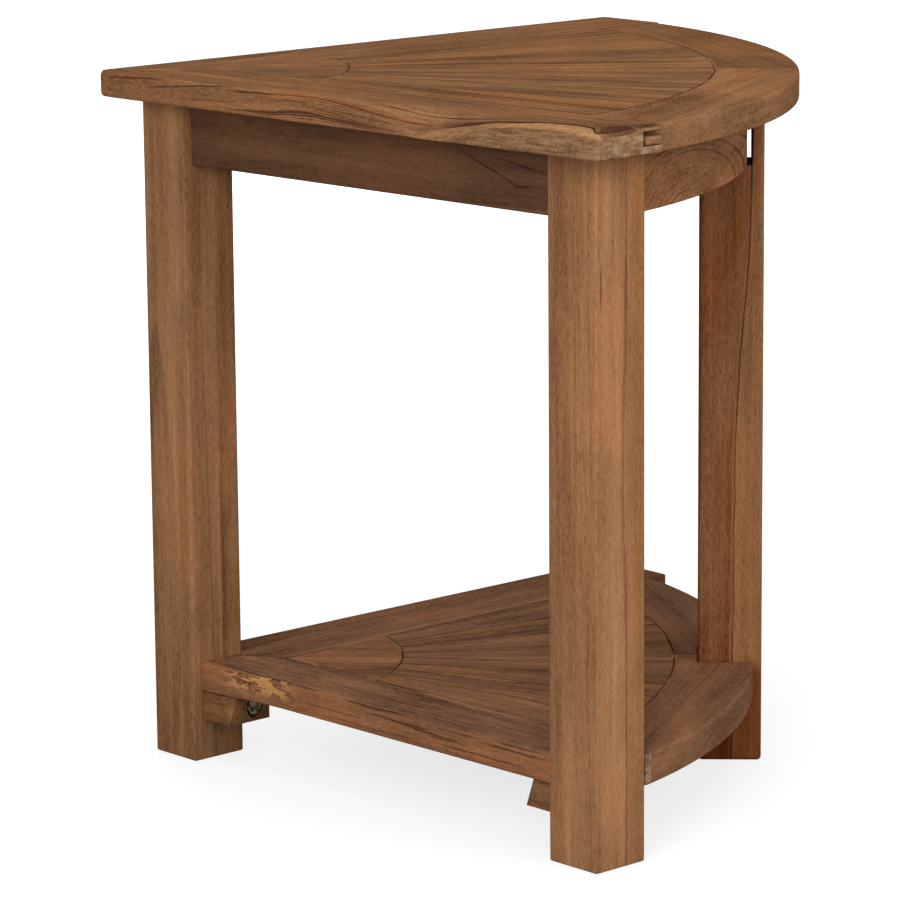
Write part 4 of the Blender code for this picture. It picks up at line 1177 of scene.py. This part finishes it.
    def follow_flow(self, lines):
        """Lays the grain along the flow lines, and strips the lens below its pale band."""
        depth = self.flow_depth(lines)
        self.flow[:, :, 0] = depth
        along = (self.rings[:, :, :2] - apex) @ rail_run(-1)
        straight = apex + along[:, :, None] * rail_run(-1)
        straight = straight + (self.edge_line - np.minimum(depth, 0))[:, :, None] * rail_in(-1)
        front = self.front
        self.grain[:, front, :2] = straight[:, front]
        self.grain[:, front, 2] = self.high - np.maximum(depth[:, front], 0)
        if lines:
            below = np.clip((depth - flow_depths[-1] + 0.3 * mm) / mm, 0, 1) * front
            bare = self.flow[:, :, 1] * front
            opened = np.clip(0.35 + (along / self.length - 0.72) / 0.06, 0.2, 1)
            self.worn = np.where(bare > 0, self.worn * (1 - bare) + bare * below * opened, self.worn)
            self.flow[:, :, 1] = self.flow[:, :, 1] * (1 - below)


def make_rail(node, side, slot, finish, low, high, edge_line, length, pith, tone, natural=None, **wane):
    """A straight rail. It is worked out as the front one, and the back one is its mirror image."""
    outline = face_outline(node)
    if side > 0:
        outline = outline[::-1] * (1, -1)
    rail = LiveRail(outline, low, high, edge_line, length, **wane)
    if natural is not None:
        rail.follow_flow(natural)
    rings, grain, kept = rail.rings, rail.grain, (rail.worn, rail.flow, rail.seam)
    if side > 0:
        rings, grain = rings[:, ::-1] * (1, -1, 1), grain[:, ::-1] * (1, -1, 1)
        kept = [values[:, ::-1] for values in kept]
    worn, flow, seam = kept
    cut = Cut(np.append(apex, low), rail_run(side), (0, 0, 1), pith, tone)
    add_piece(skin(f"{node}_board", rings, cut, worn, flow, grain, seam), [node], finish)


def make_tongue(word, side, finish):
    """The loose tongue on a rim's end: a small bar that lies in the rail's groove."""
    inner = top_radius - rim_width + tongue_set_back
    outer = top_radius - tongue_set_back
    corners = np.array([(inner, rail_width - tongue_length), (outer, rail_width - tongue_length),
                        (outer, rail_width), (inner, rail_width)])
    outline = apex + corners[:, :1] * rail_run(-1) + corners[:, 1:] * rail_in(-1)
    if side > 0:
        outline = outline[::-1] * (1, -1)
    rings = board_rings(outline, groove_low + seam_arris, groove_low + tongue_thickness,
                        np.ones(len(outline), bool), tongue_arris, tongue_arris)
    seam = np.zeros(rings.shape[:2])
    # Painted shade: the tongue's two top rings get the seam colour at full strength, as the groove over
    # them lies in shade
    seam[-2:] = 1.8
    cut = Cut(apex, rail_in(side), (0, 0, 1), (0.3, 0.05, 0.11), (1.20, 1.26, 1.32))
    add_piece(skin(f"top_{word}_tongue", rings, cut, seam=seam), [f"top_{word}_rim"], finish)


def leg_outline(centre, low_corner, high_corner):
    """A rectangle in a leg's own frame, from its near corner, turned into the plan."""
    first = np.array([cos(leg_turn), sin(leg_turn)])
    second = np.array([-sin(leg_turn), cos(leg_turn)])
    start = np.asarray(centre) - (first + second) * leg_side / 2
    (a, b), (c, d) = low_corner, high_corner
    return np.array([start + first * s + second * t for s, t in ((a, b), (c, b), (c, d), (a, d))])


def make_leg_part(name, node, outline, seam_edges, cut, finish):
    """A leg, or one of the two boards that it is glued up from. Its foot is rounded over."""
    corners = rounded(outline, np.where(corner_on_seam(seam_edges), 0, leg_arris))
    middle = (corners + np.roll(corners, -1, 0)) / 2
    outside = np.ones(len(corners), bool)
    for edge in seam_edges:
        start, end = outline[edge], outline[(edge + 1) % 4]
        run = unit(end - start)
        offset = middle - start
        outside &= np.abs(offset[:, 0] * run[1] - offset[:, 1] * run[0]) > seam_arris / 2
    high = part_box(node)[1].z
    rings = board_rings(corners, floor_level, high, outside, foot_arris, seam_arris)
    add_piece(skin(name, rings, cut), [node], finish)


def corner_on_seam(seam_edges):
    """Which of a rectangle's corners touch a seam edge: edge n runs from corner n to corner n + 1."""
    corner = np.arange(4)
    return np.isin(corner, seam_edges) | np.isin((corner - 1) % 4, seam_edges)


def make_corner_leg(node, finish, seam, gap, tones, piths):
    """A leg glued up from two boards, with the seam at a distance from its near corner."""
    low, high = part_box(node)
    centre = ((low.x + high.x) / 2, (low.y + high.y) / 2)
    first = np.array([cos(leg_turn), sin(leg_turn), 0])
    spans = (((0, 0), (seam - gap, leg_side), 1), ((seam + gap, 0), (leg_side, leg_side), 3))
    for number, (start, end, edge) in enumerate(spans):
        outline = leg_outline(centre, start, end)
        cut = Cut(outline[0], (0, 0, 1), first, piths[number], tones[number])
        make_leg_part(f"{node}_board_{number + 1}", node, outline, [edge], cut, finish)


def make_middle_leg(node, finish, tone, pith):
    """The slotted leg: its outline from the side, carried across, with its long arrises rounded.

    The corners next to the leg's own box move out onto it, because the mesh of the frame has its
    arrises rounded too. Only the two outer faces and the foot get the wide rounding.
    """
    low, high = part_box(node)
    outline = face_outline(node, 1)
    limits = np.array([(low.z, high.z), (low.x, high.x)])
    for axis in (0, 1):
        for limit in limits[axis]:
            outline[np.abs(outline[:, axis] - limit) < leg_arris + near, axis] = limit
    at_foot = outline[:, 0] < low.z + seam_arris
    outline = rounded(outline, np.where(at_foot, middle_foot_round, 0))
    middle = (outline + np.roll(outline, -1, 0)) / 2
    outside = (middle[:, 0] < low.z + middle_foot_round) | (middle[:, 1] < low.x + 0.1 * mm)
    outside |= middle[:, 1] > high.x - 0.1 * mm
    outline, outside = divided(outline, outside, leg_arris * 1.05)
    rings = board_rings(outline, low.y, high.y, outside, leg_arris, leg_arris)[:, :, [1, 2, 0]]
    cut = Cut((low.x, low.y, 0), (0, 0, 1), (0, -1, 0), pith, tone)
    add_piece(skin(f"{node}_post", rings, cut), [node], finish)


def make_apron(node, finish, run, pith, tone, heart=None):
    """An apron board, straight or curved, with its lower arrises eased.

    The heart is a place on the log's pith. Without one, the pith is given from the board's middle.
    """
    outline = face_outline(node)
    low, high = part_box(node)
    middle = outline.mean(0)
    outline = near_corners(outline, apron_arris + 0.2 * mm)
    rings = board_rings(outline, low.z, high.z, np.ones(len(outline), bool), apron_arris,
                        apron_head_arris)
    across = np.cross((0, 0, 1), np.append(run, 0))
    origin = np.append(middle, low.z) if heart is None else heart
    cut = Cut(origin, np.append(run, 0), across, pith, tone)
    add_piece(skin(f"{node}_board", rings, cut), [node], finish)


def carried_wood(turn, shift=(0, 0, 0)):
    """Grain places for a block that keeps its own mesh: its place in the table, turned in plan."""
    def place(finish):
        spot = finish.node("ShaderNodeTexCoord").outputs["Object"]
        return finish.node("ShaderNodeMapping", inputs={
            "Vector": spot, "Rotation": (0, 0, turn), "Location": shift}).outputs[0]
    return place


def zinc(name):
    """Yellow zinc plate: cloudy colour kept dark, partly as painted shade, fine tool marks and a dull
    shine.
    """
    finish = Finish(bpy.data.materials.new(name))
    x, y, z = finish.spot()
    cloud = finish.noise(x * 220, y * 220, z * 220, 3.0)
    grit = finish.noise(x * 2600, y * 2600, z * 2600, 2.0)
    colour = finish.mix(finish.step(cloud, 0.35, 0.68), shaded_zinc_dark, shaded_zinc_light)
    finish.feed(finish.shader.inputs["Base Color"], colour)
    finish.plain(Metallic=1.0)
    finish.feed(finish.shader.inputs["Roughness"], 0.26 + cloud * 0.22)
    finish.feed(finish.shader.inputs["Normal"], finish.bump(grit + cloud * 0.5, 0.3, 0.1 * mm))
    return finish


def dress_fixings():
    """Finishes for the cleats, bolts, washers and screws, which keep their own shapes."""
    plate = zinc("yellow_zinc_shaded")
    turns = {"apex_front": -half_angle, "front": -half_angle, "apex_back": half_angle,
             "back": half_angle, "middle": pi / 2}
    for name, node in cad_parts.items():
        if name.startswith(("bolt_", "washer_", "shelf_screw_", "top_screw_")):
            node.material_slots[0].material = plate.material
    for number, (word, turn) in enumerate(turns.items()):
        shade = 0.64 + 0.10 * (number % 3)
        wood = Teak(f"teak_cleat_{word}", scaled(teak_light, shade), scaled(teak_dark, shade),
                    place=carried_wood(-turn, (0.1 * number + 0.2, 0.07 * number + 0.1, 0.05)))
        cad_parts[f"cleat_{word}"].material_slots[0].material = wood.material


def scaled(colour, share):
    """A colour made lighter or darker."""
    return (*(part * share for part in colour[:3]), 1.0)


def make_top():
    """The top: two rails, the hub, eight slats, the rim in two halves and its two tongues."""
    plain = Teak("teak_top", teak_light, teak_dark)
    cracks = (Crack(((0.015, 0.020), (0.085, 0.020)), 0.6 * mm),
              Crack(((0.050, 0.034), (0.150, 0.034)), 0.5 * mm),
              Crack(((0.025, 0.046), (0.060, 0.046)), 0.5 * mm))
    front = Teak("teak_top_front", teak_light, teak_dark, ring_width=3.4 * mm, lines=edge_lines,
                 cracks=cracks)
    curved = Teak("teak_top_rim", teak_light, teak_dark, **rim_figure)
    level = {"low": top_low, "high": top_high}
    make_rail("top_front_rail", -1, "teak_top", front, edge_line=0.0, length=top_radius,
              pith=(0.0, -0.150, 0.045), tone=(0.97, 0.95, 0.95), edge_table=top_wane,
              end_table=end_wane, groove=True, natural=flow_lines, **level)
    make_rail("top_back_rail", 1, "teak_top", plain, edge_line=0.0, length=top_radius,
              pith=(0.7, 0.030, 0.090), tone=(0.98, 0.97, 0.97), edge_table=back_wane,
              end_table=plain_wane, groove=True, **level)
    board = {"slot": "teak_top", "edge_distance": 0.0, "reach": top_radius, **level}
    make_board("top_hub", finish=plain, pith=(1.3, 0.02, 0.06), tone=(0.93, 0.93, 0.95),
               run=(1.0, 0.0), **board)
    for number, (tone, pith) in enumerate(zip(top_slat_tones, slat_piths)):
        make_board(f"top_slat_{number + 1}", finish=plain, pith=(number * 0.37, *pith),
                   tone=(tone, tone, tone), **board)
    for word, side, tone in (("front", -1, 1.08), ("back", 1, 0.86)):
        make_board(f"top_{word}_rim", finish=curved, pith=(2.2, 0.10, 0.09 * side),
                   tone=(tone, tone, tone), **board)
        make_tongue(word, side, plain)


def make_shelf():
    """The shelf: two rails, the hub, eight slats and the rim in two halves, notched for the legs."""
    plain = Teak("teak_shelf", shelf_light, shelf_dark)
    front = Teak("teak_shelf_front", shelf_light, shelf_dark, blotch_depth=0.9, lines=shelf_lines,
                 bark=True)
    curved = Teak("teak_shelf_rim", shelf_light, shelf_dark, **shelf_rim_figure)
    edge = shelf_edge_inset
    reach = top_radius - shelf_set_back
    level = {"low": shelf_low, "high": shelf_high}
    make_rail("shelf_front_rail", -1, "teak_shelf", front, edge_line=edge, length=reach,
              pith=(0.0, -0.120, 0.060), tone=(1.03, 1.06, 1.14), edge_table=shelf_wane,
              end_table=plain_wane, natural=(), **level)
    make_rail("shelf_back_rail", 1, "teak_shelf", plain, edge_line=edge, length=reach,
              pith=(0.9, 0.050, 0.080), tone=(0.94, 0.94, 0.94), edge_table=plain_wane,
              end_table=plain_wane, **level)
    board = {"slot": "teak_shelf", "edge_distance": edge, "reach": reach, **level}
    make_board("shelf_hub", finish=plain, pith=(1.9, 0.03, 0.07), tone=(0.98, 0.96, 0.96),
               run=(1.0, 0.0), **board)
    for number, (tone, pith) in enumerate(zip(shelf_slat_tones, slat_piths[::-1])):
        make_board(f"shelf_slat_{number + 1}", finish=plain, pith=(number * 0.41 + 5, *pith),
                   tone=(tone, tone, tone), **board)
    for word, side, tone in (("front", -1, (1.08, 1.07, 1.12)), ("back", 1, (0.82, 0.84, 0.92))):
        make_board(f"shelf_{word}_rim", finish=curved, pith=(3.2, 0.12, 0.08 * side), tone=tone,
                   **board)


def make_legs():
    """Three legs glued up from two boards each, and the slotted one under the rim."""
    wood = Teak("teak_leg", teak_light, teak_dark, **leg_figure)
    wavy = ((-0.01, 0.0), (0.14, 0.0020), (0.28, -0.0030), (0.36, -0.0015), (0.45, 0.0012),
            (0.56, 0.0040))
    dark_lines = [Crack([(along, first + aside) for along, aside in wavy], 0.0026, 0.003, 0.36,
                        through=True) for first in (0.0600, 0.1190)]
    near_leg = Teak("teak_front_leg", teak_light, teak_dark, cracks=(
        *dark_lines,
        Crack(((0.412, 0.0345), (0.456, 0.0352)), 0.0011, 0.003, 0.7, through=True),
        Crack(((0.300, 0.0440), (0.330, 0.0440)), 0.0008, 0.003, 0.4, through=True),
        Crack(((-0.01, 0.0640), (0.25, 0.0600), (0.56, 0.0630)), 0.0050, 0.006, 0.11),
        Crack(((0.20, 0.0840), (0.56, 0.0810)), 0.0024, 0.006, 0.12)), **leg_figure)
    make_corner_leg("leg_front", near_leg, 0.031, front_glue_gap,
                    tones=((1.17, 1.16, 1.14), (1.12, 1.10, 1.07)),
                    piths=((0.0, 0.10, 0.03), (2.0, 0.05, 0.12)))
    make_corner_leg("leg_apex", wood, 0.030, glue_gap,
                    tones=((1.08, 1.08, 1.06), (1.10, 1.10, 1.08)),
                    piths=((4.0, 0.03, 0.07), (6.0, 0.07, 0.10)))
    make_corner_leg("leg_back", wood, 0.028, glue_gap,
                    tones=((1.0, 1.0, 1.0), (1.06, 1.06, 1.04)),
                    piths=((8.0, 0.06, 0.09), (9.0, 0.02, 0.12)))
    seamed = Teak("teak_middle_leg", teak_light, teak_dark, dark_foot=0.088, cracks=(
        Crack(((-0.02, 0.0340), (0.255, 0.0317), (0.330, 0.0286), (0.364, 0.0246), (0.408, 0.0212),
               (0.56, 0.0175)), 0.0012, 0.003, 0.60, stain=0.9),), **leg_figure)
    make_middle_leg("leg_middle", seamed, (1.08, 1.03, 1.02), (0.0, 0.06, 0.05))


def make_aprons():
    """The two straight aprons and the curved one."""
    knots = (Knot(0.072, 0.020, 0.022, 0.013, 0.35, 5.0), Knot(0.204, 0.062, 0.040, 0.024, 0.0, 6.0))
    cracks = (Crack(((0.2955, 0.0170), (0.360, 0.0420), (0.3865, 0.0400)), 0.0014, 0.004, 0.45),
              Crack(((0.330, 0.0220), (0.3865, 0.0290)), 0.0018, 0.004, 0.40))
    # The straight aprons' darker colours are partly painted shade under the top's overhang
    wood = Teak("teak_apron", shaded_apron_light, shaded_apron_dark, knots=knots, cracks=cracks, **apron_figure)
    bright = Teak("teak_curved_apron", teak_light, teak_dark, **curved_apron_figure)
    make_apron("apron_front", wood, rail_run(-1), (0.2, 0.06, 0.10), (0.95, 0.95, 0.95))
    make_apron("apron_back", wood, rail_run(1), (1.2, 0.06, 0.10), (0.95, 0.95, 0.95))
    make_apron("apron_curved", bright, np.array([0.0, 1.0]), (2.2, 0.0, 0.0), (1.16, 1.10, 1.08),
               heart=(0.182, 0.0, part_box("apron_curved")[0].z - 0.004))


def make_camera():
    """The camera, from its place and its three turns."""
    forward = Vector((-sin(camera_yaw) * cos(camera_pitch), cos(camera_yaw) * cos(camera_pitch),
                      -sin(camera_pitch)))
    right = Vector((cos(camera_yaw), sin(camera_yaw), 0))
    up = right.cross(forward)
    turned_right = right * cos(camera_roll) + up * sin(camera_roll)
    turned_up = up * cos(camera_roll) - right * sin(camera_roll)
    data = bpy.data.cameras.new("camera")
    data.sensor_width = sensor_width
    data.lens = camera_lens
    camera = bpy.data.objects.new("camera", data)
    turn = Matrix((turned_right, turned_up, -forward)).transposed()
    camera.matrix_world = Matrix.Translation(camera_place) @ turn.to_4x4()
    bpy.context.scene.collection.objects.link(camera)
    bpy.context.scene.camera = camera


def add_lamp(name, place, size, power):
    """A square studio lamp that points at the table."""
    data = bpy.data.lights.new(name, "AREA")
    data.shape = "SQUARE"
    data.size = size
    data.energy = power
    lamp = bpy.data.objects.new(name, data)
    aim = (Vector(lamp_target) - Vector(place)).to_track_quat("-Z", "Y")
    lamp.matrix_world = Matrix.Translation(place) @ aim.to_matrix().to_4x4()
    bpy.context.scene.collection.objects.link(lamp)


def seen_directly(finish):
    """1 for rays from the camera, from reflections and through glass, and 0 for the others."""
    path = finish.node("ShaderNodeLightPath")
    seen = Value(finish, path.outputs["Is Camera Ray"])
    for name in ("Is Glossy Ray", "Is Transmission Ray"):
        seen = finish.maths("MAXIMUM", seen, Value(finish, path.outputs[name]))
    return seen


def make_studio():
    """A pale floor that clips to white away from the table, a white surround and four soft lamps.

    From below, the floor can't be seen.
    """
    mesh = bpy.data.meshes.new("floor")
    corners = [(x * floor_reach, y * floor_reach, 0) for x, y in ((-1, -1), (1, -1), (1, 1), (-1, 1))]
    mesh.from_pydata(corners, [], [(0, 1, 2, 3)])
    floor = bpy.data.objects.new("floor", mesh)
    floor.location.z = floor_level - 0.2 * mm
    bpy.context.scene.collection.objects.link(floor)
    finish = Finish(bpy.data.materials.new("floor"))
    spot = finish.node("ShaderNodeNewGeometry").outputs
    x, y, _ = finish.parts(spot["Position"])
    away = finish.step(finish.maths("SQRT", x * x + y * y), 0.3, 1.8)
    glow = (away * 0.32 + 0.76) * seen_directly(finish)
    finish.feed(finish.shader.inputs["Emission Color"], finish.vector(glow, glow, glow))
    finish.feed(finish.shader.inputs["Alpha"], 1 - Value(finish, spot["Backfacing"]))
    finish.plain(Emission_Strength=1.0, Base_Color=(floor_shade, floor_shade, floor_shade, 1),
                 Roughness=0.9, Specular_IOR_Level=0.0)
    mesh.materials.append(finish.material)
    bpy.context.scene.world = bpy.data.worlds.new("surround")
    surround = Finish(bpy.context.scene.world, "Background")
    surround.plain(Color=(1, 1, 1, 1))
    surround.feed(surround.shader.inputs["Strength"], seen_directly(surround) * (1 - ambient) + ambient)
    for name, (place, side, power) in lamps.items():
        add_lamp(name, place, side, power)


make_camera()
make_studio()
make_top()
make_shelf()
make_legs()
make_aprons()
dress_fixings()

scene = bpy.context.scene
scene.view_settings.view_transform = "Standard"
